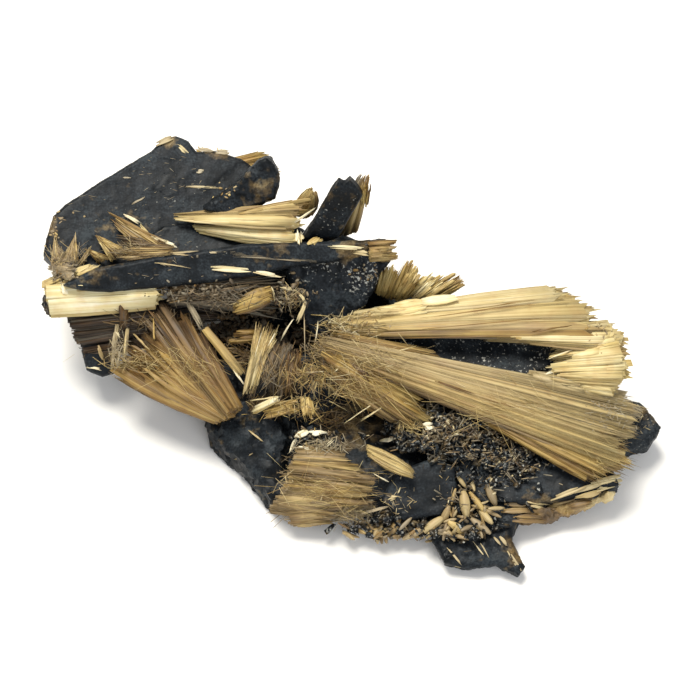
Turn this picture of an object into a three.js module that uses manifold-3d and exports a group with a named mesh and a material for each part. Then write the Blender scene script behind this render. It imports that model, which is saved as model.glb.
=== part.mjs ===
// Rutile on hematite: a loose cluster of black tabular hematite crystals, with sheaves of golden
// rutile needles grown over and between them. Millimetres, +Z up. The cluster lies on the flat
// face of its lowest hematite crystal, and the origin is the middle of its footprint.
//
// Crystals are made in the order in which they grew. A later crystal stops short of the earlier
// ones, so no two share any space.

import * as THREE from "three";
import { mergeVertices } from "three/addons/utils/BufferGeometryUtils.js";
import Module from "manifold-3d";

const growthGap = 0.3; // left between neighbouring crystals
const finestDetail = 0.03; // cuts leave no edge much shorter than this
const rimChamfer = 0.22; // worn rim of a hematite crystal
const endStep = 0.35; // how far the ragged end of a sheaf steps in and out
const stepWidth = 0.9; // width of one step

const wasm = await Module();
wasm.setup();

const hematiteBlack = new THREE.MeshStandardMaterial({
  color: 0x24282e,
  roughness: 0.38,
  metalness: 0.7,
});
const rutileGold = new THREE.MeshStandardMaterial({
  color: 0xc9a866,
  roughness: 0.45,
  metalness: 0.1,
});

// ---------------------------------------------------------------- hematite

// A flat crystal: its outline is drawn on its upper face, which passes through the point "at" and is
// turned by "turn" degrees about X, Y and Z. "thick" goes down from that face.
const hematite = {
  // Lies flat and carries the rest. The underside of its first crystal is the face that the cluster
  // stands on.
  hematite_base: [
    {
      at: [0, 0, 2.4],
      turn: [0, 0, 0],
      thick: 2.4,
      outline: [
        [-10.2, -6.8], [-9.9, -8.4], [-9.1, -9.6], [-7.8, -10.9], [-6.6, -12.6], [-5.6, -14.2],
        [-1, -14.4], [4, -14.6], [8.5, -13.4], [13, -11.2], [14.6, -6.5], [12.6, -0.5], [6, 4.2],
        [-2, 5.4], [-8.4, 3], [-11, -2.6],
      ],
    },
    {
      at: [-7.2, -9.4, 3.2],
      turn: [22, -20, 8],
      thick: 2.2,
      outline: [[-2.2, 0.8], [-0.6, 2.6], [2, 2.2], [2.6, -1], [1.9, -4], [0.4, -3.4], [-1.2, -1.6]],
    },
    {
      at: [-2.4, -5.6, 3.4],
      turn: [12, 9, 24],
      thick: 2.2,
      outline: [[-3.4, 0.6], [-1, 2.9], [2.6, 2.4], [3.6, -0.8], [1.2, -3], [-2.2, -2.4]],
    },
    {
      at: [8.6, 0.6, 3],
      turn: [-16, 6, -20],
      thick: 1.8,
      outline: [[-4.4, 0.4], [-1.6, 2.2], [3, 1.7], [4.6, -0.6], [1, -2.4], [-3.4, -1.8]],
    },
  ],
  // Stands on the base, under the ridge.
  hematite_keel_blade: {
    at: [-3.6, 1.6, 5.8],
    turn: [78, 0, 4],
    thick: 2.4,
    outline: [[-6.2, -2.7], [6.4, -2.7], [5.6, 1.2], [2.6, 3], [-4.8, 2.6], [-6.6, 0.4]],
  },
  // Leans under the upper plate.
  hematite_back_blade: {
    at: [-12.2, 6.6, 4],
    turn: [96, 0, -12],
    thick: 1.9,
    outline: [[-3.6, -3.4], [-0.4, -3.7], [3.2, -3.2], [4.4, 0.6], [3, 3.2], [-3.4, 3.4], [-5, 0.8]],
  },
  hematite_front_foot: {
    at: [9, -17.4, 1.7],
    turn: [12, 0, 0],
    thick: 1,
    outline: [
      [-3.6, 2.6], [-2, 3.6], [1.8, 3.6], [3, 2], [2.2, 0.2], [3.1, -1.8], [2.7, -2.5],
      [1.2, -1.7], [-1, -1.9], [-2.4, -1.5], [-3.2, 0],
    ],
  },
  hematite_lower_right_blade: {
    at: [13.5, -12.5, 3.2],
    turn: [12, 0, 0],
    thick: 2,
    outline: [
      [-6.1, 1.7], [-3, 2.6], [1.2, 2], [4.8, 0.4], [5.3, -1], [1.8, -2], [-1.6, -2.5],
      [-4.4, -2.5], [-6.2, -0.6],
    ],
  },
  hematite_lower_plate: {
    at: [4.9, -14, 3.2],
    turn: [20, 0, 0],
    thick: 2,
    outline: [[-2.8, -0.9], [-1.8, 1.2], [0.7, 2.2], [2.6, 1.6], [2.6, -0.8], [1.5, -2], [-1.2, -2.2]],
  },
  hematite_rubble: [
    {
      at: [4.6, -9.8, 4.2],
      turn: [24, -12, 18],
      thick: 1.6,
      outline: [[-2, 0.3], [-0.9, 1.6], [1.4, 1.1], [1.9, -0.6], [0.2, -1.5], [-1.5, -1.1]],
    },
    {
      at: [7, -10.6, 4.1],
      turn: [34, 10, -22],
      thick: 1.8,
      outline: [[-1.9, 0.9], [0.3, 1.8], [2.1, 0.7], [1.6, -1.1], [-0.3, -1.7], [-1.7, -0.8]],
    },
    {
      at: [9.4, -10.9, 3.6],
      turn: [12, -14, 36],
      thick: 1.6,
      outline: [[-1.6, 0.2], [-0.7, 1.4], [1, 1.3], [1.8, -0.3], [0.5, -1.5], [-1, -1.2]],
    },
    {
      at: [8, -12.2, 3.4],
      turn: [40, 18, 10],
      thick: 1.5,
      outline: [[-1.4, 0.5], [0.1, 1.2], [1.5, 0.4], [1, -1], [-0.8, -1.1]],
    },
  ],
  hematite_right_tip: {
    at: [20.3, -8.4, 3],
    turn: [14, 4, 0],
    thick: 1.8,
    outline: [[-3.4, 1.6], [0.2, 1.7], [1.7, -0.2], [0.8, -1.6], [-0.8, -2], [-3.2, -1.6]],
  },
  hematite_left_block: {
    at: [-18, -3.3, 4.2],
    turn: [40, 0, 0],
    thick: 2.2,
    outline: [[-0.9, 1.5], [1.4, 1.7], [1.6, -1.3], [0.4, -1.7], [-0.7, -1.2], [-1.1, 0.2]],
  },
  hematite_left_nub: {
    at: [-20.9, -0.9, 6.6],
    turn: [52, 10, 0],
    thick: 1.4,
    outline: [[-0.9, 0.4], [-0.2, 0.8], [0.7, 0.6], [0.9, -0.2], [0.3, -0.9], [-0.6, -0.6]],
  },
  hematite_lance: {
    at: [9.5, -3.3, 5.4],
    turn: [8, 0, 0],
    thick: 1.5,
    outline: [
      [-7.4, 0.6], [-3.8, 2.8], [1.1, 3.3], [5.2, 1.4], [6.1, -0.2], [4.5, -1.9],
      [2.5, -2.9], [-0.4, -3.4], [-3.9, -2.6], [-7, -1.4],
    ],
  },
  hematite_centre_plate: {
    at: [-0.8, 0.4, 8.8],
    turn: [50, 0, 0],
    thick: 1.8,
    outline: [
      [-3.5, 1.3], [3.3, 2.2], [3.6, 0.9], [2.8, -0.4], [2.4, -1.5], [0.8, -3.7],
      [-0.6, -4.4], [-1.7, -4.7], [-2.6, -3.2], [-3, -1.5], [-3.7, -0.1],
    ],
  },
  hematite_ridge_blade: {
    at: [-9, 0.8, 10.2],
    turn: [32, 0, 0],
    thick: 1.9,
    outline: [
      [-11.3, -1.9], [-8.9, -0.7], [-5.1, 0], [-1.6, 0.5], [1.6, 1], [6.2, 1.1],
      [9, 1.2], [10.4, 1.3], [10.6, 0.7], [10, 0.1], [7.6, -0.3], [4.8, -0.7],
      [2, -1.3], [-1.5, -1.8], [-4.4, -2.1], [-7.9, -2.4], [-10, -2.3],
    ],
  },
  hematite_upper_plate: {
    at: [-14, 5, 8.6],
    turn: [17, 3, 0],
    thick: 1.7,
    outline: [
      [-7.8, -2.4], [-7.6, -1.2], [-7.2, 0.5], [-6.3, 1.4], [-4, 3.1], [-1.9, 4.5],
      [-0.3, 5.6], [0.7, 6.6], [1.5, 6.8], [2.4, 6.4], [3, 5.6], [4.3, 5.7], [6.1, 5.2],
      [7, 4.6], [6.9, 3.2], [6.4, 1.4], [5.6, 0.2], [4.4, -0.2], [0.8, -0.5], [-0.2, -1.4],
      [-0.6, -3.2], [-3, -3.8], [-6.6, -3.6],
    ],
  },
  hematite_step_plate: {
    at: [-9, 3.2, 8.5],
    turn: [15, 0, 0],
    thick: 1.4,
    outline: [
      [-5.2, 0.9], [-4.2, 1.6], [-0.6, 1.8], [1.9, 1.6], [5.4, 1.4], [7, 0.4], [7.4, -1],
      [4, -1.6], [-3, -1.7], [-5.2, -0.9],
    ],
  },
  hematite_upper_knob: {
    at: [-6.6, 5.2, 9.9],
    turn: [48, 0, 0],
    thick: 1.7,
    outline: [
      [-3.9, 0], [-3, 0.7], [-1.4, 1.9], [-0.6, 2.8], [0, 3.4], [0.6, 3.7], [1.1, 3.5],
      [1.5, 2.8], [1.6, 2.1], [1.3, 0.7], [0.3, 0.3], [-2.2, -0.4],
    ],
  },
  hematite_standing_blade: {
    at: [-2, 2.6, 10.5],
    turn: [76, 0, 0],
    thick: 1,
    outline: [
      [-1.7, -1.2], [-0.2, 1.7], [0.8, 3.9], [1.2, 4.6], [1.6, 4.3], [2, 4.8], [2.5, 4.1],
      [2.9, 3.3], [2, 1.4], [0.9, -1.2], [-0.7, -1.8],
    ],
  },
};

// ------------------------------------------------------------------ rutile

// A sheaf of needles, as the sheet that its needles fill. "root" and "tip" each give the two ends of
// an edge; needles run from the root edge to the tip edge. "thick" is the thickness at the root and
// at the tip, "crown" how far the middle of the tip edge stands out, and "belly" how much wider the
// sheaf is at half length, as a share.
const rutile = {
  rutile_upper_lath: {
    root: [[-13.7, 5.1, 9], [-13.5, 4.6, 8.9]],
    tip: [[-3, 5.2, 10.6], [-2.8, 3.4, 10]],
    thick: [0.6, 1.2],
  },
  rutile_upper_wedge: {
    root: [[-11.2, 4.5, 8.9], [-10.9, 4.1, 8.8]],
    tip: [[-3.3, 3.6, 9.6], [-3.7, 2.2, 9.4]],
    thick: [0.6, 1.3],
  },
  rutile_leaf: {
    root: [[-4, 5.3, 9.2], [-2.9, 5.3, 9]],
    tip: [[-2.9, 5.7, 11.8], [-2.4, 5.6, 11.6]],
    thick: [0.7, 0.4],
    belly: 0.3,
  },
  rutile_blade_backing: {
    root: [[-1.6, 4.3, 8.6], [0.4, 4.4, 8.6]],
    tip: [[0.6, 5, 14.1], [1.4, 5, 14.2]],
    thick: [1.2, 0.7],
  },
  rutile_left_spray: {
    root: [[-10.9, 1.8, 9.2], [-11.6, 0.8, 9]],
    tip: [[-16.2, 5, 9.1], [-18.6, 1.8, 8.4]],
    thick: [1.5, 0.8],
    crown: 1,
  },
  rutile_left_tuft: {
    root: [[-18.6, 0.6, 7.9], [-20.6, 0.3, 7.5]],
    tip: [[-19.3, 3.8, 8.8], [-21.9, 3.2, 8.3]],
    thick: [1.2, 0.9],
  },
  rutile_left_lath: {
    root: [[-21.6, 0, 7.9], [-21.2, -1.3, 6.7]],
    tip: [[-13.7, -0.1, 8.5], [-13.5, -1.1, 7.4]],
    thick: [1.3, 1.3],
  },
  rutile_ridge_crust: {
    root: [[-13.2, 0, 8.4], [-12.8, -1.3, 7.2]],
    tip: [[-3.7, 0.7, 9], [-4, -1.6, 7]],
    thick: [1.2, 1.6],
  },
  rutile_ridge_cap: {
    root: [[1.2, 1.8, 10.6], [1.3, 0.6, 9.9]],
    tip: [[3.4, 1.9, 10.8], [3.2, 0.7, 9.9]],
    thick: [1.5, 1.3],
  },
  rutile_back_fan: {
    root: [[-9.6, 2.6, 6], [-8, 3.4, 5.6]],
    tip: [[-15.6, 10.2, 7.8], [-8, 11, 8.4]],
    thick: [1.6, 1.6],
    crown: 1,
  },
  rutile_back_fin: {
    root: [[-11, 9.9, 8.6], [-9.4, 8.2, 8.2]],
    tip: [[-6.5, 10.8, 9.4], [-5, 8.4, 9]],
    thick: [1.1, 0.9],
    crown: 0.5,
  },
  rutile_rear_fan: {
    root: [[-5.4, 3.4, 7.6], [-1, 3.6, 7.4]],
    tip: [[-9.6, 7.8, 1.2], [0.8, 7.2, 0.9]],
    thick: [1.2, 1.8],
    crown: 0.6,
  },
  rutile_back_tuft: {
    root: [[1.8, 0.8, 6], [3.8, 0.4, 5.6]],
    tip: [[2.4, 2.2, 8.5], [5.4, 1.6, 7.7]],
    thick: [1.3, 0.8],
  },
  rutile_back_lump: {
    root: [[4, 0.8, 5.6], [6.6, 1, 5.4]],
    tip: [[5.7, 1.9, 7.2], [8.6, 1.3, 6.5]],
    thick: [1.4, 1.2],
    crown: 0.3,
  },
  rutile_upper_right_fan: {
    root: [[-0.5, -2, 6.8], [0, -3.5, 6.1]],
    tip: [[12.8, 0.4, 7.1], [18.7, -4.2, 6.4]],
    thick: [1.3, 1.5],
    crown: 1,
    bow: -0.4,
  },
  rutile_right_lobe: {
    root: [[13.7, -4.4, 6.1], [13.2, -5.7, 5.8]],
    tip: [[18.8, -3.9, 6.1], [18, -7.7, 5.5]],
    thick: [1.1, 1.6],
    crown: 1,
  },
  rutile_great_fan: {
    root: [[-2.7, -3.8, 6.6], [-2.2, -4.7, 6]],
    tip: [[19.3, -7.3, 4.3], [16.6, -13.7, 3]],
    thick: [1.6, 1.6],
    crown: 1.3,
    bow: -0.3,
  },
  rutile_front_bundle: {
    root: [[-1.8, -4.6, 6.7], [-3, -6.2, 6]],
    tip: [[5.6, -8.6, 4.7], [3.6, -10.2, 4.2]],
    thick: [1.8, 1.2],
    crown: 0.4,
  },
  // Lies under the left lath and fills the hollow behind the block.
  rutile_under_lath: {
    root: [[-20.2, -1.1, 6], [-18.9, -3.1, 3.4]],
    tip: [[-12.6, -0.8, 6.8], [-12.9, -2.4, 4.6]],
    thick: [1.6, 1.8],
  },
  rutile_left_fan: {
    root: [[-7.6, -7.5, 3.9], [-8.6, -8.2, 3]],
    tip: [[-12.6, -1.7, 6.8], [-16.9, -4.9, 4.2]],
    thick: [1.5, 1.9],
    crown: 0.5,
    bow: -0.7,
  },
  rutile_left_post: {
    root: [[-16.5, -1.7, 6.9], [-15.7, -1.7, 6.9]],
    tip: [[-17.1, -5.2, 5.1], [-15.9, -5.4, 5.1]],
    thick: [0.7, 0.8],
  },
  rutile_centre_stick: {
    root: [[-7.6, -7.2, 4.8], [-6.7, -7.3, 4.8]],
    tip: [[-6.6, -2.9, 7.7], [-5.3, -3.1, 7.5]],
    thick: [0.8, 1],
  },
  rutile_thin_rod: {
    root: [[-12.2, -1.2, 7.6], [-11.4, -1.1, 7.6]],
    tip: [[-7.9, -6.9, 5], [-7.3, -6.5, 5]],
    thick: [0.6, 0.5],
  },
  rutile_centre_tangle: {
    root: [[-5.5, -3.4, 7], [-2, -3.4, 7]],
    tip: [[-6.2, -9.4, 4], [-1.4, -9.8, 4]],
    thick: [1.4, 1.6],
  },
  rutile_lower_slab: {
    root: [[-4.4, -10.8, 4.6], [-5.8, -14.4, 0.9]],
    tip: [[2.8, -11.2, 4.4], [2.8, -16.2, 0.9]],
    thick: [2, 2],
    bow: 0.3,
  },
  rutile_lozenge: {
    root: [[1.1, -11.7, 5.2], [1.2, -12.4, 4.9]],
    tip: [[4.5, -13.4, 4.6], [4.3, -13.9, 4.4]],
    thick: [0.8, 0.7],
    belly: 1.1,
  },
  rutile_lower_edge: {
    root: [[9.4, -14.5, 2], [10.8, -15.6, 0.8]],
    tip: [[18.8, -12.9, 2.6], [18.2, -13.9, 1.6]],
    thick: [1.3, 1],
    bow: 0.4,
  },
};

// Clusters of short thick needles, each as [middle, length, width, degrees round Z from +X,
// degrees upwards].
const grains = {
  rutile_upper_grains: [
    [[9.6, -15.5, 2.6], 2.2, 1, -55, -6],
    [[8.7, -15.7, 2.6], 2.6, 1.1, -60, -4],
    [[7.7, -15.5, 2.6], 2.6, 1.1, -95, -6],
    [[7.1, -14.5, 3.1], 1.8, 0.9, -65, -10],
  ],
  rutile_front_grains: [
    [[6, -16.7, 2.3], 1.9, 1.1, 55, 0],
    [[6.9, -16.9, 2.3], 2.2, 1, -50, 0],
    [[7.8, -17, 2.3], 2, 1, -35, 0],
    [[8.8, -16.9, 2.3], 2.2, 1, -30, 0],
  ],
  rutile_left_grains: [
    [[2, -16.8, 1.4], 1.3, 1.1, 80, 0],
    [[3, -16.8, 1.5], 1.8, 1.2, 60, 0],
    [[4.3, -16.8, 1.6], 2.4, 1, 22, 0],
  ],
};

// ------------------------------------------------------------------- makers

function mix(from, to, share) {
  return new THREE.Vector3(...from).lerp(new THREE.Vector3(...to), share);
}

// The closed surface of a hematite crystal. "grow" makes it bigger all round.
function tabularSurface({ outline, thick, at, turn }, grow) {
  const face = new THREE.Shape(outline.map(([x, y]) => new THREE.Vector2(x, y)));
  const surface = new THREE.ExtrudeGeometry(face, {
    depth: thick - 2 * rimChamfer + 2 * grow,
    bevelThickness: rimChamfer,
    bevelSize: rimChamfer,
    bevelOffset: grow - rimChamfer,
    bevelSegments: 1,
  });
  const angles = turn.map((degrees) => THREE.MathUtils.degToRad(degrees));
  const place = new THREE.Matrix4()
    .makeRotationFromEuler(new THREE.Euler(...angles))
    .setPosition(...at);
  return surface.translate(0, 0, rimChamfer - thick - grow).applyMatrix4(place);
}

// The closed surface of a sheaf: a box of unit size, each of whose points is moved to its place
// across the sheaf (x), along the needles (y) and through its thickness (z).
function sheafSurface({ root, tip, thick, belly = 0, crown = 0, bow = 0 }, grow) {
  const tipWidth = new THREE.Vector3(...tip[0]).distanceTo(new THREE.Vector3(...tip[1]));
  const stepsAcross = Math.max(3, Math.round(tipWidth / stepWidth));
  const surface = new THREE.BoxGeometry(1, 1, 1, stepsAcross, 4, 1);
  const across = mix(root[0], tip[0], 0.5).sub(mix(root[1], tip[1], 0.5)).negate().normalize();
  const along = mix(...tip, 0.5).sub(mix(...root, 0.5));
  const through = new THREE.Vector3().crossVectors(across, along).normalize();
  const halfWidth = mix(...root, 0).distanceTo(mix(...root, 1)) / 2;
  const points = surface.attributes.position;
  const point = new THREE.Vector3();
  for (let i = 0; i < points.count; i += 1) {
    point.fromBufferAttribute(points, i);
    const share = point.x + 0.5;
    const fromMiddle = 2 * point.x;
    const start = mix(...root, share);
    const needle = mix(...tip, share).sub(start);
    const length = needle.length();
    const atTip = point.y > 0.49;
    const step = atTip && Math.round(share * stepsAcross) % 2 ? -endStep : 0;
    const stretch = crown * (1 - fromMiddle ** 2) * (point.y + 0.5);
    const travel = (point.y + 0.5) * length + 2 * point.y * grow + step + stretch;
    const atHalfLength = Math.cos(Math.PI * point.y);
    const sideways = fromMiddle * (grow + belly * halfWidth * atHalfLength) + bow * atHalfLength;
    const bulge = Math.sqrt(1 - 0.7 * fromMiddle ** 2);
    const depth = THREE.MathUtils.lerp(...thick, point.y + 0.5) * bulge + 2 * grow;
    start
      .addScaledVector(needle, travel / length)
      .addScaledVector(across, sideways)
      .addScaledVector(through, point.z * depth);
    points.setXYZ(i, start.x, start.y, start.z);
  }
  return surface;
}

function grainSurface([middle, length, width, round, upwards], grow) {
  return new THREE.SphereGeometry(1, 8, 5)
    .scale(width / 2 + grow, length / 2 + grow, width / 2 + grow)
    .rotateZ(-Math.PI / 2)
    .rotateY(THREE.MathUtils.degToRad(-upwards))
    .rotateZ(THREE.MathUtils.degToRad(round))
    .translate(...middle);
}

// A closed surface as a solid that can be joined and cut.
function solidOf(surface) {
  surface.deleteAttribute("normal");
  surface.deleteAttribute("uv");
  const merged = mergeVertices(surface, 1e-4);
  return new wasm.Manifold(
    new wasm.Mesh({
      numProp: 3,
      vertProperties: new Float32Array(merged.attributes.position.array),
      triVerts: new Uint32Array(merged.index.array),
      tolerance: finestDetail,
    }),
  );
}

function meshOf(name, solid, material) {
  const { numProp, vertProperties, triVerts } = solid.getMesh();
  const surface = new THREE.BufferGeometry();
  const stride = new THREE.InterleavedBuffer(vertProperties, numProp);
  surface.setAttribute("position", new THREE.InterleavedBufferAttribute(stride, 3, 0));
  surface.setIndex([...triVerts]);
  const mesh = new THREE.Mesh(surface.toNonIndexed(), material);
  mesh.geometry.computeVertexNormals();
  mesh.name = name;
  return mesh;
}

function biggestOf(solid) {
  return solid.decompose().reduce((a, b) => (a.volume() > b.volume() ? a : b));
}

const grown = []; // each crystal so far, a little too big, to cut the later ones with
const specimen = new THREE.Group();
specimen.name = "rutile_on_hematite";

function grow(name, material, shape) {
  const room = grown.reduce((left, earlier) => left.subtract(earlier), shape(0));
  grown.push(shape(growthGap));
  specimen.add(meshOf(name, biggestOf(room), material));
}

// Crystals grown into one another are joined in one solid.
function joinedSolid(crystals, surfaceOf, extra) {
  return crystals
    .map((crystal) => solidOf(surfaceOf(crystal, extra)))
    .reduce((joined, crystal) => joined.add(crystal));
}

for (const [name, crystals] of Object.entries(hematite)) {
  grow(name, hematiteBlack, (extra) => joinedSolid([crystals].flat(), tabularSurface, extra));
}
for (const [name, sheaf] of Object.entries(rutile)) {
  grow(name, rutileGold, (extra) => joinedSolid([sheaf], sheafSurface, extra));
}
for (const [name, cluster] of Object.entries(grains)) {
  grow(name, rutileGold, (extra) => joinedSolid(cluster, grainSurface, extra));
}

// The origin goes to the middle of the footprint, at the height of the lowest face.
const box = new THREE.Box3().setFromObject(specimen);
const middle = box.getCenter(new THREE.Vector3());
specimen.position.set(-middle.x, -middle.y, -box.min.z);

export default specimen;
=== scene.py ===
import math

import bpy
import numpy as np
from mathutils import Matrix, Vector


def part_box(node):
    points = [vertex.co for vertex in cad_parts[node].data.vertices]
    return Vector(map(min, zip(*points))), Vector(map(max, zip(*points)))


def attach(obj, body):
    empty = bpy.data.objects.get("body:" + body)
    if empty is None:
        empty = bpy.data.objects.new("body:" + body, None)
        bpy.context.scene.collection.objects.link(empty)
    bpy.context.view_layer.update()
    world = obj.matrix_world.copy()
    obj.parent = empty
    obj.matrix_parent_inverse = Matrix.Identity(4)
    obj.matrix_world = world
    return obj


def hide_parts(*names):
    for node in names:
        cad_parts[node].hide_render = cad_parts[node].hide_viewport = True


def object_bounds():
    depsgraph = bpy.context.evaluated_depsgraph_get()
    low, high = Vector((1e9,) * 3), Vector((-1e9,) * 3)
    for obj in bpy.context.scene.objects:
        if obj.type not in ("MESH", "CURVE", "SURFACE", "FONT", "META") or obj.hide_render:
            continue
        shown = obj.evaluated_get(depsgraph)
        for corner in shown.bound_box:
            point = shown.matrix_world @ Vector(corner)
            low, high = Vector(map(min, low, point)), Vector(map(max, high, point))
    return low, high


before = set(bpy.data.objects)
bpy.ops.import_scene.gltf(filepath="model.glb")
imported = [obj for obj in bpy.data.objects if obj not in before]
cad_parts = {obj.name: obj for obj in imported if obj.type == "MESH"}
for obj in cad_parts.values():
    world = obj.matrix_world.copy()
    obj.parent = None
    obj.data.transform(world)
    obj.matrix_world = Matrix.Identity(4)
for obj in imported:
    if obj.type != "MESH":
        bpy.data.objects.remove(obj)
cadLow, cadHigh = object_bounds()
mm = 0.001

cameraLook = {
    "elevation": 55,  # degrees above the table
    "distance": 300,  # mm
    "lens": 213.5,
    "aim": (0.5, 0.6235, 0.0),  # as a share of the whole object's box
}
lightLook = {
    "sky": ("#ffffff", 0.5),
    "key": {"place": (-90, 120, 420), "size": 240, "power": 2.6, "colour": "#fffaf0"},
    "fill": {"place": (140, -340, 240), "size": 300, "power": 0.7, "colour": "#f4f8ff"},
    "table": "#f6f5f2",
}


def linearColour(hexColour):
    parts = [int(hexColour[i:i + 2], 16) / 255 for i in (1, 3, 5)]
    return [c / 12.92 if c <= 0.04045 else ((c + 0.055) / 1.055) ** 2.4 for c in parts] + [1]


def addNode(tree, kind, settings=None, links=None):
    node = tree.nodes.new(kind)
    for key, value in (settings or {}).items():
        if key == "stops":  # of a colour ramp
            ramp = node.color_ramp
            ramp.elements[0].position, ramp.elements[1].position = value[0][0], value[-1][0]
            for position, colour in value[1:-1]:
                ramp.elements.new(position)
            for element, (position, colour) in zip(ramp.elements, value):
                element.color = linearColour(colour)
        elif isinstance(key, int) or key in node.inputs:
            node.inputs[key].default_value = value
        else:
            setattr(node, key, value)
    for key, source in (links or {}).items():
        tree.links.new(source, node.inputs[key])
    return node


def newMaterial(name):
    material = bpy.data.materials.new(name)
    material.use_nodes = True
    return material, material.node_tree, material.node_tree.nodes["Principled BSDF"]


def aimAt(thing, target):
    thing.rotation_euler = (Vector(target) - thing.location).to_track_quat("-Z", "Y").to_euler()


def placeCamera(look):
    aim = Vector([low + share * (high - low) for low, high, share in zip(cadLow, cadHigh, look["aim"])])
    rise = math.radians(look["elevation"])
    away = Vector((0, -math.cos(rise), math.sin(rise))) * look["distance"] * mm
    bpy.ops.object.camera_add(location=aim + away)
    camera = bpy.context.object
    camera.data.lens = look["lens"]
    camera.data.clip_start = 10 * mm
    aimAt(camera, aim)
    bpy.context.scene.camera = camera
    return aim


def placeLights(look, aim):
    world = bpy.data.worlds.new("softSky")
    world.use_nodes = True
    background = world.node_tree.nodes["Background"]
    background.inputs["Color"].default_value = linearColour(look["sky"][0])
    background.inputs["Strength"].default_value = look["sky"][1]
    bpy.context.scene.world = world
    for name in ("key", "fill"):
        bpy.ops.object.light_add(type="AREA", location=[value * mm for value in look[name]["place"]])
        light = bpy.context.object
        light.name = name
        light.data.shape = "DISK"
        light.data.size = look[name]["size"] * mm
        light.data.energy = look[name]["power"]
        light.data.color = linearColour(look[name]["colour"])[:3]
        aimAt(light, aim)


def layTable(look):
    bpy.ops.mesh.primitive_plane_add(size=4, location=(0, 0, 0))
    table = bpy.context.object
    table.name = "table"
    paper, tree, shader = newMaterial("whiteCard")  # uncoated card: bright and matt
    shader.inputs["Base Color"].default_value = linearColour(look["table"])
    shader.inputs["Roughness"].default_value = 0.9
    table.data.materials.append(paper)


bpy.ops.object.select_all(action="DESELECT")
aimPoint = placeCamera(cameraLook)
placeLights(lightLook, aimPoint)
layTable(lightLook)
bpy.context.scene.view_settings.view_transform = "Standard"
print("camera, lights and table are in place")

# Rutile in silky sheaves: the needles are adamantine and honey brown, so a sheaf is cream along its
# lit sides and brown in its gaps, with painted shade on sunk and inner strands, and greyish where the
# needles are too fine to tell apart, a pale frost that also paints their silky sheen
rutileLook = {
    "shades": (
        (0.0, "#120a04"), (0.15, "#36230c"), (0.3, "#5e431b"), (0.45, "#876930"),
        (0.6, "#ad9251"), (0.75, "#cdb778"), (0.9, "#e4d6a5"), (1.0, "#f3eccf"),
    ),
    # frost: the pale grey of the finest needles, which also paints the silky sheen of a sheaf
    "frost": "#b0a68c",
    "fineStreak": 0.09,   # mm across; growth lines are finer, and are drawn this coarse so as to show
    "broadStreak": 0.35,  # mm across
    "streakLength": 5,    # mm
    "patch": 1.7,         # mm, where a sheaf is browner or greyer
    "contrast": (0.26, 0.22, 0.24),  # of the fine streaks, the broad ones and the patches
    "warm": "#dba75f",
    "ior": 1.5,
    "roughness": (0.45, 0.65),
}


def attributeOf(tree, name):
    return addNode(tree, "ShaderNodeAttribute", {"attribute_name": name}).outputs["Fac"]


def noiseOf(tree, coords, size, detail):
    # size in mm
    return addNode(tree, "ShaderNodeTexNoise", {"Scale": 1 / (size * mm), "Detail": detail},
                   {"Vector": coords}).outputs["Fac"]


def streaks(tree, coords, across, along, detail):
    # noise drawn out along the needles
    drawn = addNode(tree, "ShaderNodeMapping", {"Scale": (1 / across, 1 / along, 1)}, {"Vector": coords})
    return addNode(tree, "ShaderNodeTexNoise", {"noise_dimensions": "2D", "Scale": 1, "Detail": detail},
                   {"Vector": drawn.outputs["Vector"]}).outputs["Fac"]


def addShare(tree, base, source, share):
    # the base with a share of the source on top
    return addNode(tree, "ShaderNodeMath", {"operation": "MULTIPLY_ADD", 1: share},
                   {0: source, 2: base}).outputs[0]


def ranged(tree, source, fromLow, fromHigh, toLow, toHigh):
    return addNode(tree, "ShaderNodeMapRange", {1: fromLow, 2: fromHigh, 3: toLow, 4: toHigh},
                   {0: source}).outputs[0]


def mixColours(tree, share, first, second, blend="MIX"):
    return addNode(tree, "ShaderNodeMix", {"data_type": "RGBA", "blend_type": blend, 7: linearColour(second)},
                   {0: share, 6: first}).outputs[2]


def feed(tree, shader, sources, settings):
    for name, source in sources.items():
        tree.links.new(source, shader.inputs[name])
    for name, value in settings.items():
        shader.inputs[name].default_value = value


def makeRutile(name, look):
    material, tree, shader = newMaterial(name)
    coords = addNode(tree, "ShaderNodeUVMap", {"uv_map": "needles"}).outputs["UV"]
    place = addNode(tree, "ShaderNodeTexCoord").outputs["Object"]
    fine = streaks(tree, coords, look["fineStreak"], look["streakLength"], 2)
    broad = streaks(tree, coords, look["broadStreak"], look["streakLength"] * 2, 1)
    patch = noiseOf(tree, place, look["patch"], 3)
    tone = attributeOf(tree, "tone")
    for source, share in zip((fine, broad, patch), look["contrast"]):
        tone = addShare(tree, tone, source, share)
    middle = sum(look["contrast"]) / 2
    level = addNode(tree, "ShaderNodeMath", {"operation": "SUBTRACT", 1: middle}, {0: tone})
    colour = addNode(tree, "ShaderNodeValToRGB", {"stops": look["shades"]}, {"Fac": level.outputs[0]})
    warmth = ranged(tree, noiseOf(tree, place, look["patch"] * 0.6, 4), 0.5, 0.72, 0, 0.3)
    warmed = mixColours(tree, warmth, colour.outputs["Color"], look["warm"], "MULTIPLY")
    bump = addNode(tree, "ShaderNodeBump", {"Strength": 0.6, "Distance": 0.03 * mm}, {"Height": fine})
    feed(tree, shader, {
        "Base Color": mixColours(tree, attributeOf(tree, "frost"), warmed, look["frost"]),
        "Roughness": ranged(tree, broad, 0, 1, *look["roughness"]),
        "Normal": bump.outputs["Normal"],
    }, {"IOR": look["ior"]})
    return material
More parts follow.
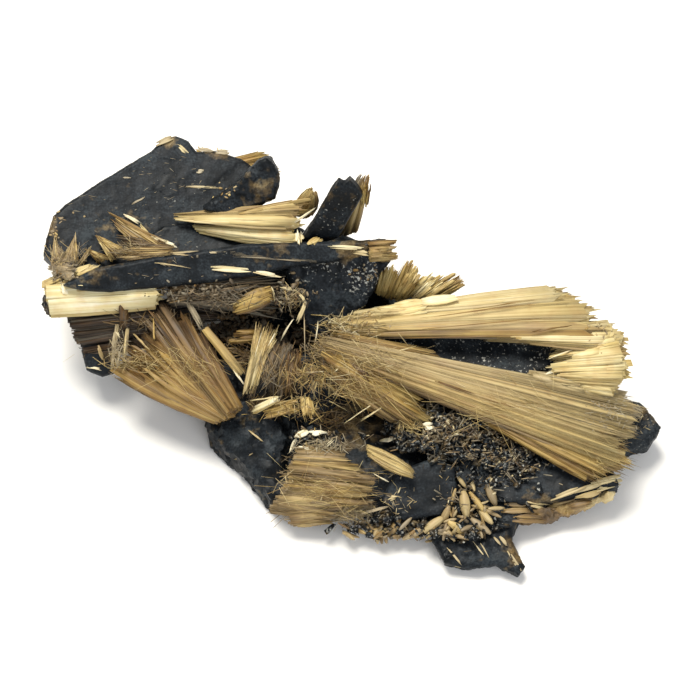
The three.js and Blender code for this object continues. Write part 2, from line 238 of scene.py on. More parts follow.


# Tabular hematite: metallic blue-black growth faces, dulled by fine pits, with painted glints of pale
# grey where platelets catch the light, in clusters, and a thin brown film of rutile dust where the sheaves
# broke away
hematiteLook = {
    "shades": ((0.36, "#0f1214"), (0.5, "#181c20"), (0.64, "#31373b")),
    "patch": 1.8,    # mm, clouds of duller and brighter metal
    "pit": 0.15,     # mm
    "cluster": 1.1,  # mm, clusters of painted glints
    "glintSize": 0.19,   # mm, one painted glint
    "glintColour": "#a0a098",
    "glintEdge": (1.0, 1.14),
    "striation": (1.6, 0.12),  # mm along and across
    "lineDepth": 0.35,         # of a pit's depth
    "film": 0.8,     # mm, blots of dust
    "filmEdge": (0.76, 1.06),
    "filmColours": ((0.35, "#3b3020"), (0.5, "#6d5a3a"), (0.7, "#a8946a")),
    "roughness": (0.38, 0.6),
    "metallic": 0.25,
    "specular": 0.16,
}


def makeHematite(name, look):
    material, tree, shader = newMaterial(name)
    coords = addNode(tree, "ShaderNodeTexCoord").outputs["Object"]
    patch = noiseOf(tree, coords, look["patch"], 5)
    pits = noiseOf(tree, coords, look["pit"], 3)
    along, across = look["striation"]
    drawn = addNode(tree, "ShaderNodeMapping", {"Scale": (1 / along, 1 / across, 1 / across)},
                    {"Vector": coords}).outputs["Vector"]
    lines = noiseOf(tree, drawn, 1, 2)
    level = addNode(tree, "ShaderNodeMix", {0: 0.4}, {2: patch, 3: pits}).outputs[0]
    metal = addNode(tree, "ShaderNodeValToRGB", {"stops": look["shades"]}, {"Fac": level})
    # painted glints: pale grey specks mixed into the metal's colour
    bright = noiseOf(tree, coords, look["glintSize"], 1)
    for source in (noiseOf(tree, coords, look["cluster"], 3), attributeOf(tree, "glitter")):
        bright = addShare(tree, bright, source, 0.3)
    sparkle = mixColours(tree, ranged(tree, bright, *look["glintEdge"], 0, 1), metal.outputs["Color"],
                         look["glintColour"])
    dusty = addShare(tree, attributeOf(tree, "stain"), noiseOf(tree, coords, look["film"], 6), 1)
    cover = ranged(tree, dusty, *look["filmEdge"], 0, 1)
    dust = addNode(tree, "ShaderNodeValToRGB", {"stops": look["filmColours"]}, {"Fac": level})
    colour = addNode(tree, "ShaderNodeMix", {"data_type": "RGBA"},
                     {0: cover, 6: sparkle, 7: dust.outputs["Color"]})
    bump = addNode(tree, "ShaderNodeBump", {"Strength": 0.35, "Distance": 0.03 * mm},
                   {"Height": addShare(tree, pits, lines, look["lineDepth"])})
    feed(tree, shader, {
        "Base Color": colour.outputs[2],
        "Roughness": ranged(tree, patch, 0.3, 0.7, *look["roughness"]),
        "Metallic": ranged(tree, cover, 0, 1, look["metallic"], 0),
        "Normal": bump.outputs["Normal"],
    }, {"Specular IOR Level": look["specular"]})
    return material


# each material with the name of its slot
rutile = (makeRutile("silkyRutile", rutileLook), "rutile_needles")
hematite = (makeHematite("tabularHematite", hematiteLook), "hematite")
print("materials are made")


def selectWhere(piece, kind, test):
    bpy.ops.object.mode_set(mode="OBJECT")
    kinds = ("vertices", "edges", "polygons")  # the mode is set first, or whole faces get selected
    bpy.context.tool_settings.mesh_select_mode = [kind == each for each in kinds]
    for part in (*piece.data.vertices, *piece.data.edges, *piece.data.polygons):
        part.select = False
    for part in getattr(piece.data, kind):
        part.select = bool(test(part))
    bpy.ops.object.mode_set(mode="EDIT")


def edgesAlong(piece, axis):
    ends = lambda e: [piece.data.vertices[i].co[axis] for i in e.vertices]
    return lambda e: abs(ends(e)[0] - ends(e)[1]) > 0.5


def sizeRing(piece, height, share):
    selectWhere(piece, "vertices", lambda v: abs(v.co.z - height) < 0.01)
    bpy.ops.transform.resize(value=(share, share, 1), center_override=(0, 0, height))


def asTemplate(name, piece):
    # its points are shares across, through and along
    bpy.ops.object.mode_set(mode="OBJECT")
    points = np.array([v.co for v in piece.data.vertices])
    faces = [list(face.vertices) for face in piece.data.polygons]
    bpy.data.objects.remove(piece)
    print("modelled a", name, "of", len(faces), "faces")
    return {"points": points, "faces": faces}


# What repeats is modelled once: a slim needle, a lath with a keel, a plank with ridges along it, a
# blunt grooved grain, a rounded crumb and an angular chip
needleModel = {"sides": 3, "rings": (0.85, 1, 0.55)}
lathModel = {"sides": 5, "rings": (0.9, 1, 1, 0.8)}
plankModel = {"rings": (0.9, 1, 0.98, 0.85), "ridges": (0.6, 1.0, 0.75, 0.95, 0.5)}
grainModel = {"sides": 12, "rings": (0.4, 0.8, 1, 0.95, 0.75, 0.35), "groove": 0.8}
crumbModel = {"spread": 0.22, "seed": 4}
chipModel = {"spread": 0.3, "seed": 6, "taper": 0.6}


def startFrom(addPrimitive, **settings):
    # a primitive that stands on the origin
    bpy.ops.object.select_all(action="DESELECT")
    addPrimitive(location=(0, 0, 0.5), **settings)
    bpy.ops.object.transform_apply(location=True)
    return bpy.context.object


def sizeRings(piece, rings):
    for i, size in enumerate(rings):
        sizeRing(piece, i / (len(rings) - 1), size)
    return piece


def roughen(piece, model):
    selectWhere(piece, "vertices", lambda v: True)
    bpy.ops.transform.vertex_random(offset=model["spread"], seed=model["seed"])
    return piece


def modelNeedle(model):
    needle = startFrom(bpy.ops.mesh.primitive_cylinder_add, vertices=model["sides"], radius=0.5, depth=1)
    selectWhere(needle, "edges", edgesAlong(needle, 2))
    bpy.ops.mesh.subdivide(number_cuts=len(model["rings"]) - 2)
    return sizeRings(needle, model["rings"])


def modelPlank(model):
    plank = startFrom(bpy.ops.mesh.primitive_cube_add, size=1)
    columns = len(model["ridges"]) - 1
    for axis, cuts in ((2, len(model["rings"]) - 2), (0, columns - 1)):
        selectWhere(plank, "edges", edgesAlong(plank, axis))
        bpy.ops.mesh.subdivide(number_cuts=cuts)
    for i, size in enumerate(model["ridges"]):
        selectWhere(plank, "vertices", lambda v: abs(v.co.x + 0.5 - i / columns) < 0.01)
        bpy.ops.transform.resize(value=(1, size, 1), center_override=(0, 0, 0.5))
    return sizeRings(plank, model["rings"])


def modelGrain(model):
    grain = modelNeedle(model)
    turn = 2 * math.pi / model["sides"]
    selectWhere(grain, "vertices", lambda v: round(math.atan2(v.co.x, v.co.y) / turn) % 2)
    bpy.ops.transform.resize(value=(model["groove"], model["groove"], 1), center_override=(0, 0, 0.5))
    return grain


def modelCrumb(model):
    return roughen(startFrom(bpy.ops.mesh.primitive_ico_sphere_add, subdivisions=1, radius=0.5), model)


def modelChip(model):
    chip = startFrom(bpy.ops.mesh.primitive_cube_add, size=0.9)
    sizeRing(chip, 0.95, model["taper"])
    return roughen(chip, model)


needleShape = asTemplate("needle", modelNeedle(needleModel))
lathShape = asTemplate("lath", modelNeedle(lathModel))
plankShape = asTemplate("plank", modelPlank(plankModel))
grainShape = asTemplate("grain", modelGrain(grainModel))
crumbShape = asTemplate("crumb", modelCrumb(crumbModel))
chipShape = asTemplate("chip", modelChip(chipModel))


def unit(vectors):
    return vectors / np.maximum(np.linalg.norm(vectors, axis=-1, keepdims=True), 1e-12)


def nodeOf(family, piece):
    # hematite and upperPlate give hematite_upper_plate
    return family + "_" + "".join("_" + letter.lower() if letter.isupper() else letter for letter in piece)


def pointIn(node, percents):
    # every place on the object is given as percents of the box of the node that it belongs to
    low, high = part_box(node)
    return np.array([low[i] + percents[i] / 100 * (high[i] - low[i]) for i in range(3)])


def sheetOf(node, look):
    # the sheet that strands fill, as a function from shares across, along and through to a point
    rootA, rootB = [pointIn(node, corner) for corner in look["root"]]
    tipA, tipB = [pointIn(node, corner) for corner in look["tip"]]
    across = unit((rootB + tipB - rootA - tipA) / 2)
    along = (tipA + tipB - rootA - rootB) / 2
    through = unit(np.cross(across, along))
    through = through * np.copysign(1, through[2])
    halfWidth = np.linalg.norm(rootB - rootA) / 2
    thick = np.array(look["thick"]) * mm

    def place(side, run, height):
        side, run, height = (np.asarray(value, float)[..., None] for value in (side, run, height))
        start = rootA + (rootB - rootA) * side
        needle = tipA + (tipB - tipA) * side - start
        length = np.linalg.norm(needle, axis=-1, keepdims=True)
        off = 2 * side - 1
        arch = np.cos(np.pi * (run - 0.5))
        travel = run * length + look["crown"] * mm * (1 - off ** 2) * run
        sideways = (off * look["belly"] * halfWidth + look["bow"] * mm) * arch
        deep = (thick[0] + (thick[1] - thick[0]) * run) * np.sqrt(np.clip(1 - 0.7 * off ** 2, 0.1, 1))
        return start + needle * travel / length + across * sideways + through * height * deep

    widths = [np.linalg.norm(rootB - rootA) / mm, np.linalg.norm(tipB - tipA) / mm]
    return place, widths, np.linalg.norm(along) / mm


def layStrands(template, place, length, strand):
    # one copy of the template along each strand, bent to the sheet; lengths and widths are in mm
    x, y, z = template["points"].T
    column = {key: value[:, None] for key, value in strand.items()}
    run = column["start"] + (column["end"] - column["start"]) * (z + column["skew"] * x * z ** 2)
    side = column["side"] + 0 * run
    height = column["height"] + 0 * run
    step = 0.01
    forward = unit(place(side, run + step, height) - place(side, run - step, height))
    sideways = place(side + step, run, height) - place(side - step, run, height)
    up = unit(np.cross(sideways, forward))
    sideways = np.cross(up, forward)
    taper = (1 - column["point"] * z ** 3) * (1 - column["rootPoint"] * (1 - z) ** 3)
    width = column["width"] * (column["waist"] + (1 - column["waist"]) * run) * taper
    across, through = x * width, y * column["thick"] * taper
    cosRoll, sinRoll = np.cos(column["roll"]), np.sin(column["roll"])
    wander = column["drift"] * (z - column["pivot"]) + column["wobble"] * np.sin(column["phase"] + 5 * z)
    a = across * cosRoll - through * sinRoll + wander
    b = across * sinRoll + through * cosRoll + column["lift"] * z ** 2
    points = place(side, run, height) + sideways * a[..., None] * mm + up * b[..., None] * mm
    tone = column["tone"] + column["toneTip"] * (z - 0.5)
    frost = column["frost"] + 0 * tone
    texture = np.stack([across + column["phase"] * 7, run * length + column["phase"]], -1)
    return {"template": template, "points": points, "tone": tone, "frost": frost, "texture": texture}


def joinStrands(name, groups):
    points, loops, totals, base = [], [], [], 0
    for group in groups:
        count, corners = group["points"].shape[:2]
        faces = group["template"]["faces"]
        starts = base + np.arange(count)[:, None] * corners
        loops.append((np.concatenate(faces)[None, :] + starts).ravel())
        totals.append(np.tile([len(face) for face in faces], count))
        points.append(group["points"].reshape(-1, 3))
        base += count * corners
    points, loops, totals = (np.concatenate(rows) for rows in (points, loops, totals))
    points[:, 2] = np.maximum(points[:, 2], 0)  # nothing reaches under the table
    mesh = bpy.data.meshes.new(name)
    mesh.vertices.add(len(points))
    mesh.vertices.foreach_set("co", points.astype(np.float32).ravel())
    mesh.loops.add(len(loops))
    mesh.loops.foreach_set("vertex_index", loops.astype(np.int32))
    mesh.polygons.add(len(totals))
    mesh.polygons.foreach_set("loop_start", (np.cumsum(totals) - totals).astype(np.int32))
    mesh.polygons.foreach_set("loop_total", totals.astype(np.int32))
    mesh.update(calc_edges=True)
    for key in ("tone", "frost"):
        values = np.concatenate([group[key].ravel() for group in groups])
        mesh.attributes.new(key, "FLOAT", "POINT").data.foreach_set("value", values.astype(np.float32))
    texture = np.concatenate([group["texture"].reshape(-1, 2) for group in groups])
    mesh.uv_layers.new(name="needles").data.foreach_set("uv", texture[loops].astype(np.float32).ravel())
    piece = bpy.data.objects.new(name, mesh)
    bpy.context.scene.collection.objects.link(piece)
    return piece


def finishPiece(piece, finish, nodes=()):
    material, slot = finish
    piece.data.materials.clear()
    piece.data.materials.append(material)
    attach(piece, "root")
    if nodes:
        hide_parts(*nodes)
    triangles = sum(len(face.vertices) - 2 for face in piece.data.polygons)
    print(f"  {piece.name}: {triangles} triangles")


def standBits(template, look, rng, at, along, normal, sizes):
    # one copy of the template at each point, with its length along and its back to the normal; mm
    tone, frost = (rng.uniform(*look[key], len(at))[:, None] for key in ("tone", "frost"))
    x, y, z = (share[None, :, None] for share in template["points"].T)
    normal = unit(normal)
    along = unit(along - normal * (along * normal).sum(-1, keepdims=True))
    across = np.cross(normal, along)
    length, width, thick = (np.asarray(size)[:, None, None] * mm for size in sizes)
    points = at[:, None] + across[:, None] * x * width + normal[:, None] * y * thick
    points = points + along[:, None] * (z - 0.5) * length
    shift = np.arange(len(at))[:, None] * 3.7
    texture = np.stack([(x * width)[..., 0] / mm + shift, (z * length)[..., 0] / mm + shift], -1)
    flat = np.zeros(points.shape[:2])
    return {"template": template, "points": points, "tone": flat + tone, "frost": flat + frost,
            "texture": texture}


def layBits(look, rng, at, along, normal, sizes, nodes=()):
    bits = standBits(look["shape"], look, rng, at, along, normal, sizes)
    piece = joinStrands(look["piece"], [bits])
    for name in look.get("paints", ()):
        paint(piece, name, look[name])
    finishPiece(piece, look["finish"], nodes)


def laySlivers(look):
    # single laths, each from one point to another, then width in mm, tone and frost
    rng = np.random.default_rng(look["seed"])
    rows = [row for row in look["slivers"] for _ in range(look["split"])]
    start, end = [np.array([pointIn(look["node"], row[i]) for row in rows])[:, None] for i in (0, 1)]
    rise = np.array(look["rise"], float)
    across = unit(np.cross(end - start, rise))
    back = unit(np.cross(across, end - start))

    def place(side, run, height):
        side, run, height = (np.asarray(value, float)[..., None] for value in (side, run, height))
        arch = np.cos(np.pi * (run - 0.5)) * look["arch"] * mm
        return start + (end - start) * run + across * (side - 0.5) * mm + back * (height * mm + arch)

    count = len(rows)
    length = np.linalg.norm(end - start, axis=-1) / mm
    whole = np.array([row[2] for row in rows])
    width = whole * rng.uniform(0.35, 0.75, count)
    level = np.zeros(count)
    strand = {
        "side": 0.5 + rng.normal(0, 0.22, count) * whole, "height": rng.uniform(-0.1, 0.1, count) * whole,
        "start": rng.uniform(0, 0.3, count), "end": rng.uniform(0.7, 1, count), "width": width,
        "thick": width * rng.uniform(*look["flat"], count), "waist": rng.uniform(0.5, 1, count),
        "roll": rng.normal(0, 0.3, count), "skew": rng.normal(0, 0.1, count), "drift": level,
        "pivot": level, "lift": level, "wobble": rng.uniform(0, 0.04, count),
        "phase": rng.uniform(0, 100, count), "point": rng.uniform(*look["point"], count),
        "rootPoint": rng.uniform(*look["point"], count),
        "tone": np.array([row[3] for row in rows]), "toneTip": rng.normal(0, 0.06, count),
        "frost": np.array([row[4] for row in rows]),
    }
    return layStrands(plankShape, place, length, strand)


def settle(surfaces, point, fall):
    # where a line through the point, drawn along the fall, first meets a surface
    best = None
    for surface in surfaces:
        hit, place, normal, _ = surface.ray_cast(Vector(point) - fall * 30 * mm, fall)
        if hit and (best is None or (place - best[0]).dot(fall) < 0):
            best = (place, normal)
    return best


def strew(look):
    # bits lying on finished surfaces, in spots: node, middle, radius in mm, how many
    rng = np.random.default_rng(look["seed"])
    bpy.context.view_layer.update()
    surfaces = [bpy.data.objects[name] for name in look["on"]]
    fall = Vector(look["fall"]).normalized()
    found = []
    for node, middle, radius, count in look["spots"]:
        centre = pointIn(node, middle)
        for _ in range(count):
            reach = rng.normal(0, 0.5 * radius * mm, 3)
            met = settle(surfaces, centre + reach, fall)
            if met and met[1].dot(fall) < -0.2:
                found.append((*met[0], *met[1]))
    at, normal = np.split(np.array(found), 2, axis=1)
    count = len(at)
    length = rng.uniform(*look["length"], count) * rng.uniform(0.5, 1, count)
    width = np.minimum(rng.uniform(*look["width"], count), length)
    thick = width * rng.uniform(*look["flat"], count)
    along = rng.normal(0, 1, (count, 3)) + np.array(look["lean"])
    sizes = (length, width, thick)
    at = at + normal * (thick * look["sink"] * mm)[:, None]
    layBits(look, rng, at, along, normal, sizes)


def drawIn(surfaces, points, reach):
    # bits further than the reach from every surface would hang in the air, so they are drawn in
    for i, point in enumerate(points):
        point = Vector(point)
        places = [surface.closest_point_on_mesh(point)[1] for surface in surfaces]
        place = min(places, key=lambda near: (near - point).length)
        away = point - place
        points[i] = place + away * min(1, reach / max(away.length, 1e-9))


def heapUp(look):
    # angular bits heaped round points: node, middle, reach in mm, how many
    rng = np.random.default_rng(look["seed"])
    bpy.context.view_layer.update()
    at = np.concatenate([
        pointIn(node, middle) + rng.normal(0, 0.5, (count, 3)) * reach * np.array(mm)
        for node, middle, reach, count in look["heaps"]
    ])
    drawIn([bpy.data.objects[name] for name in look["on"]], at, look["pile"] * mm)
    at[:, 2] = np.maximum(at[:, 2], look["length"][0] * mm)
    count = len(at)
    along, normal = rng.normal(0, 1, (2, count, 3)) + np.array((((1.2, 0, 0),), ((0, -0.5, 1),)))
    width = rng.uniform(*look["width"], count)
    sizes = (rng.uniform(*look["length"], count), width, width * rng.uniform(*look["flat"], count))
    layBits(look, rng, at, along, normal, sizes)


# Three habits of rutile, and what some pieces make of them. Widths and lengths are in mm and angles
# in degrees; "coats" is how many times the laths and the needles cover each side of the sheaf.
anySheaf = {
    "lath": lathShape, "crown": 0, "belly": 0, "bow": 0, "toneSide": (0, 0), "toneRun": (0, 0),
    "rootRagged": 0.3, "rootPoint": 0,
    "under": 0.38,      # of the strands lie on the underside
    "sunkLevel": 0.62,  # of the full height, for a sunk bundle
    "sunkShade": 0.18,   # darker: painted shade on a sunk bundle
    "deepShade": 0.14,   # darker: painted shade on the innermost strands
    "shortest": 0.35,   # of the sheet's length
}
planks = {
    **anySheaf, "bundle": 0.7, "lathWidth": (0.25, 1.0), "needleWidth": (0.035, 0.07), "coats": (6, 2),
    "flat": (0.07, 0.14), "lath": plankShape, "roll": 0.03, "stray": 0.25, "uneven": 0.1, "cracks": 0.1,
    "ragged": 0.9, "broken": 0.25, "point": 0.4, "mixing": 0.035, "frizz": 0.05,
}
silk = {
    **anySheaf, "bundle": 0.4, "lathWidth": (0.12, 0.42), "needleWidth": (0.03, 0.06), "coats": (6, 3),
    "flat": (0.06, 0.12), "roll": 0.04, "stray": 0.6, "uneven": 0.07, "cracks": 0.05, "ragged": 1.2,
    "broken": 0.2, "point": 0.8, "mixing": 0.03, "frizz": 0.08,
}
hairs = {
    **anySheaf, "bundle": 0.3, "lathWidth": (0.05, 0.18), "needleWidth": (0.03, 0.065), "coats": (3, 4),
    "flat": (0.25, 0.45), "roll": 0.25, "stray": 4, "uneven": 0.4, "cracks": 0.15, "ragged": 1.8,
    "rootRagged": 0.9, "broken": 0.35, "point": 0.95, "rootPoint": 0.5, "mixing": 0.09, "frizz": 0.2,
}
lobePlanks = {
    **planks, "point": 0.08, "stray": 0.1, "cracks": 0.03, "uneven": 0.05, "rootPoint": 0.95,
    "lathWidth": (0.3, 0.9), "broken": 0.1,
}
wideSilk = {**silk, "lathWidth": (0.2, 0.7), "roll": 0.02}
slabSilk = {
    **wideSilk, "lathWidth": (0.2, 0.6), "uneven": 0.03, "cracks": 0, "ragged": 2.4, "stray": 1.5,
    "coats": (6, 3.1), "rootRagged": 0.6, "rootPoint": 0.8, "point": 1,
}
satinSilk = {
    **silk, "lathWidth": (0.4, 1.1), "roll": 0.01, "mixing": 0.02, "cracks": 0, "rootPoint": 0.9,
}
tuftHairs = {**hairs, "stray": 1, "ragged": 1.8, "coats": (5, 3.1)}
loose = {"rise": (0, -0.4, 1), "arch": 0.04, "flat": (0.1, 0.25), "point": (0.3, 0.9), "split": 4}


def fillSheet(rng, node, look):
    place, (rootWidth, tipWidth), length = sheetOf(node, look)
    # strands stand in bundles, each with its own height, colour and end; some lie sunk, darkened with painted
    # shade
    bundles = max(3, round(max(rootWidth, tipWidth) / look["bundle"]))
    middle = (np.arange(bundles) + rng.uniform(0.1, 0.9, bundles)) / bundles
    sunk = rng.uniform(0, 1, bundles) < look["cracks"]
    level = rng.uniform(1 - look["uneven"], 1, (2, bundles)) * np.where(sunk, look["sunkLevel"], 1)
    bundleTone = rng.uniform(*look["tone"], bundles) - look["sunkShade"] * sunk
    bundleDrift = rng.normal(0, 0.4, bundles)
    bundleEnd = 1 + rng.uniform(-1, 0.2, bundles) * look["ragged"] / length
    waist = float(np.clip(rootWidth / max(tipWidth, 0.1), 0.3, 1))
    straying = math.tan(math.radians(look["stray"])) * length
    groups = []
    for broad, template, flat in ((1, look["lath"], look["flat"]), (0, needleShape, (0.7, 1.0))):
        widths = look["lathWidth" if broad else "needleWidth"]
        count = int(2 * look["coats"][1 - broad] * max(rootWidth, tipWidth) / (sum(widths) / 2)) + 4
        bundle = rng.integers(bundles, size=count)
        face = (rng.uniform(0, 1, count) < look["under"]) * 1
        depth = rng.uniform(0, 1, count) ** (2.5 if broad else 4)
        broken = rng.uniform(0, 1, count) < look["broken"]
        end = bundleEnd[bundle] - rng.exponential(0.2, count) * look["ragged"] / length
        end = np.where(broken, end - rng.uniform(0.05, 0.55, count), end)
        late = rng.uniform(0, 1, count) < 0.3
        start = rng.uniform(0, 1, count) * look["rootRagged"] / length
        start = np.where(late, start + rng.uniform(0, 0.4, count), start)
        width = rng.uniform(*widths, count)
        side = np.clip(middle[bundle] + rng.normal(0, 0.45 / bundles, count), 0.01, 0.99)
        fuzz = rng.exponential(look["frizz"], count) * (1 - broad) * (rng.uniform(0, 1, count) < 0.15)
        # the inner strands are darkened by depth: painted shade
        tone = bundleTone[bundle] + rng.normal(0, look["mixing"], count) - look["deepShade"] * depth
        strand = {
            "side": side,
            "height": (0.5 - face) * level[face, bundle] * (1 - 0.8 * depth),
            "start": start,
            "end": np.maximum(end, start + look["shortest"]),
            "width": width,
            "thick": width * rng.uniform(*flat, count),
            "waist": np.full(count, waist if broad else max(waist, 0.6)),
            "roll": rng.normal(0, look["roll"] if broad else 0.6, count),
            "skew": rng.normal(0, 0.1, count) * broad,
            "drift": (rng.normal(0, 0.5, count) + bundleDrift[bundle]) * straying,
            "pivot": rng.uniform(0.2, 0.6, count),
            "lift": rng.normal(0, 0.05, count) * straying + (0.5 - face) * 2 * fuzz,
            "wobble": rng.uniform(0, 0.015, count),
            "phase": rng.uniform(0, 100, count),
            "point": look["point"] * rng.uniform(0.3, 1, count),
            "rootPoint": look["rootPoint"] * rng.uniform(0.3, 1, count),
            # one side of the sheet is made lighter and the other darker: painted light and shade
            "tone": tone + np.interp(side, (0, 1), look["toneSide"]),
            "toneTip": look["toneRun"][1] - look["toneRun"][0] + rng.normal(0, 0.04, count),
            "frost": np.clip(np.interp(side, (0, 1), look["frost"]) + rng.normal(0, 0.08, count), 0, 1),
        }
        groups.append(layStrands(template, place, length, strand))
    return groups


wisps = {"along": (1, 0, 0), "spread": 0.35, "length": (0.8, 2.4), "width": (0.03, 0.08)}


def scatterWisps(rng, node, look):
    # loose needles round a middle point, within a reach in mm, all lying about one way
    count = look["count"]
    at = pointIn(node, look["middle"]) + rng.normal(0, 0.5, (count, 3)) * look["reach"] * np.array(mm)
    along = unit(np.array(look["along"], float)) + rng.normal(0, look["spread"], (count, 3))
    normal = rng.normal(0, 1, (count, 3))
    width = rng.uniform(*look["width"], count)
    sizes = (rng.uniform(*look["length"], count), width, width * rng.uniform(0.4, 0.9, count))
    return standBits(needleShape, look, rng, at, along, normal, sizes)


def sheet(habit, root, tip, thick, tone, frost, **more):
    # root and tip each hold two corners; thick is in mm, at the root and the tip,
    # tone runs from the darkest to the lightest bundle and frost from one side to the other;
    # frost is a pale grey, partly the finest needles' own and partly a painted silky sheen
    return {**habit, "root": root, "tip": tip, "thick": thick, "tone": tone, "frost": frost, **more}


def tangle(middle, reach, count, tone, frost, **more):
    return {**wisps, "middle": middle, "reach": reach, "count": count, "tone": tone, "frost": frost, **more}


def growSheaf(look):
    rng = np.random.default_rng(look["seed"])
    node = nodeOf("rutile", look["piece"])
    groups = [group for part in look["sheets"] for group in fillSheet(rng, node, part)]
    groups += [scatterWisps(rng, node, part) for part in look.get("wisps", ())]
    if "slivers" in look:
        groups.append(laySlivers({**loose, **look, "node": node}))
    finishPiece(joinStrands(look["piece"], groups), rutile, [node])


def applyModifier(piece, kind, **settings):
    bpy.ops.object.modifier_add(type=kind)
    modifier = piece.modifiers[-1]
    for key, value in settings.items():
        setattr(modifier, key, value)
    bpy.ops.object.modifier_apply(modifier=modifier.name)


def addRelief(piece, kind, size, height, settings):
    # size is the width of one bump or pit and height its depth, in mm
    texture = bpy.data.textures.new("relief", kind)
    texture.noise_scale = size * mm
    for key, value in settings.items():
        setattr(texture, key, value)
    applyModifier(piece, "DISPLACE", texture=texture, strength=height * mm, mid_level=0.5)


def paint(piece, name, spread, node=None, spots=()):
    # spots are (middle, radius in mm, strength)
    points = np.array([v.co for v in piece.data.vertices])
    value = np.full(len(points), float(spread))
    for middle, radius, strength in spots:
        distance = np.linalg.norm(points - pointIn(node, middle), axis=1) / (radius * mm)
        value = np.maximum(value, strength * np.clip(1.4 - distance, 0, 1))
    piece.data.attributes.new(name, "FLOAT", "POINT").data.foreach_set("value", value.astype(np.float32))


def runNeedles(piece, run, across):
    # the streaks of the needles run one way through a grown crust
    corners = np.array([piece.data.vertices[loop.vertex_index].co for loop in piece.data.loops])
    texture = np.stack([corners @ np.array(across), corners @ np.array(run) * 3], -1) / mm
    piece.data.uv_layers.new(name="needles").data.foreach_set("uv", texture.astype(np.float32).ravel())


steps = {"distance_metric": "MINKOVSKY", "color_mode": "POSITION"}  # flat-topped growth plates
clouds = {"noise_depth": 3}
smoothRelief = (("CLOUDS", 1.2, 0.12, clouds), ("VORONOI", 1.3, 0.05, steps), ("CLOUDS", 0.25, 0.02, clouds))
plateRelief = (("CLOUDS", 0.8, 0.32, clouds), ("VORONOI", 0.6, 0.12, steps), ("CLOUDS", 0.25, 0.08, clouds))
roughRelief = (("CLOUDS", 0.9, 0.6, clouds), ("VORONOI", 0.45, 0.28, steps), ("CLOUDS", 0.25, 0.14, clouds))
massive = {"grain": 0.1, "crease": 30, "keep": 0.45}
tabular = {
    **massive, "family": "hematite", "finish": hematite, "relief": smoothRelief,
    "paints": ("glitter", "stain"),
}


def growCrystal(look):
    # a copy of the crystal's own block, given its natural surface
    bpy.ops.object.select_all(action="DESELECT")
    node = nodeOf(look["family"], look["piece"])
    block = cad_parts[node]
    piece = bpy.data.objects.new(look["piece"], block.data.copy())
    bpy.context.scene.collection.objects.link(piece)
    bpy.context.view_layer.objects.active = piece
    piece.select_set(True)
    bpy.ops.object.mode_set(mode="EDIT")
    bpy.ops.mesh.select_all(action="SELECT")
    bpy.ops.mesh.remove_doubles(threshold=0.001 * mm)
    bpy.ops.object.mode_set(mode="OBJECT")
    applyModifier(piece, "REMESH", mode="VOXEL", voxel_size=look["grain"] * mm)
    for kind, size, height, settings in look["relief"]:
        addRelief(piece, kind, size, height, settings)
    applyModifier(piece, "DECIMATE", ratio=look["keep"])  # the flat faces go first
    for vertex in piece.data.vertices:
        vertex.co.z = max(vertex.co.z, 0)  # what lies under the table is worn flat
    bpy.ops.object.shade_smooth_by_angle(angle=math.radians(look["crease"]))
    for name in look["paints"]:
        paint(piece, name, look.get(name, 0.1), node, look.get(name + "Spots", ()))
    finishPiece(piece, look["finish"], [node])
    return piece


base = {
    **tabular, "piece": "base", "grain": 0.2, "relief": roughRelief, "glitter": 0.15,
    "stain": 0.16, "stainSpots": (((20, 40, 90), 2.5, 0.45), ((45, 30, 60), 3, 0.4)),
}
growCrystal(base)

keelBlade = {
    **tabular, "piece": "keelBlade", "grain": 0.16, "relief": plateRelief,
    "stain": 0.2,
}
growCrystal(keelBlade)

backBlade = {
    **tabular, "piece": "backBlade", "grain": 0.16, "relief": plateRelief,
    "stain": 0.15,
}
growCrystal(backBlade)

frontFoot = {
    **tabular, "piece": "frontFoot", "relief": plateRelief,
    "stain": 0.12, "stainSpots": (((95, 30, 60), 1.4, 0.5),),
}
growCrystal(frontFoot)

lowerRightBlade = {
    **tabular, "piece": "lowerRightBlade",
    "glitterSpots": (((20, 50, 80), 3.5, 0.6),),
    "stainSpots": (((50, 0, 50), 1.6, 0.4),),
}
growCrystal(lowerRightBlade)

lowerPlate = {
    **tabular, "piece": "lowerPlate",
    "glitter": 0.2, "stainSpots": (((10, 30, 60), 1.6, 0.2),),
}
growCrystal(lowerPlate)

# a full glitter paints pale glints all over the rubble
rubble = {
    **tabular, "piece": "rubble", "relief": roughRelief,
    "glitter": 1, "stain": 0.3,
}
growCrystal(rubble)

rightTip = {
    **tabular, "piece": "rightTip", "relief": plateRelief,
    "glitter": 0.5, "stain": 0.12, "stainSpots": (((30, 95, 90), 2, 0.4), ((90, 80, 90), 1.6, 0.4)),
}
growCrystal(rightTip)

leftBlock = {
    **tabular, "piece": "leftBlock",
    "stainSpots": (((90, 30, 70), 0.9, 0.5),),
}
growCrystal(leftBlock)

leftNub = {
    **tabular, "piece": "leftNub", "grain": 0.09, "relief": roughRelief, "stain": 0.36,
}
growCrystal(leftNub)

# many painted glints lighten the lance where the fans above shade it
lance = {
    **tabular, "piece": "lance", "glitter": 0.78,
}
growCrystal(lance)

centrePlate = {
    **tabular, "piece": "centrePlate", "relief": plateRelief,
    "glitterSpots": (((30, 70, 90), 2.6, 0.9), ((75, 50, 70), 2.2, 1)),
    "stainSpots": (((50, 80, 90), 2.4, 0.3),),
}
growCrystal(centrePlate)

ridgeBlade = {
    **tabular, "piece": "ridgeBlade",
    "glitter": 0.15, "stain": 0.12,
    "stainSpots": (((95, 70, 90), 1.6, 0.5), ((70, 60, 90), 2, 0.3), ((10, 50, 60), 2.5, 0.35)),
}
growCrystal(ridgeBlade)

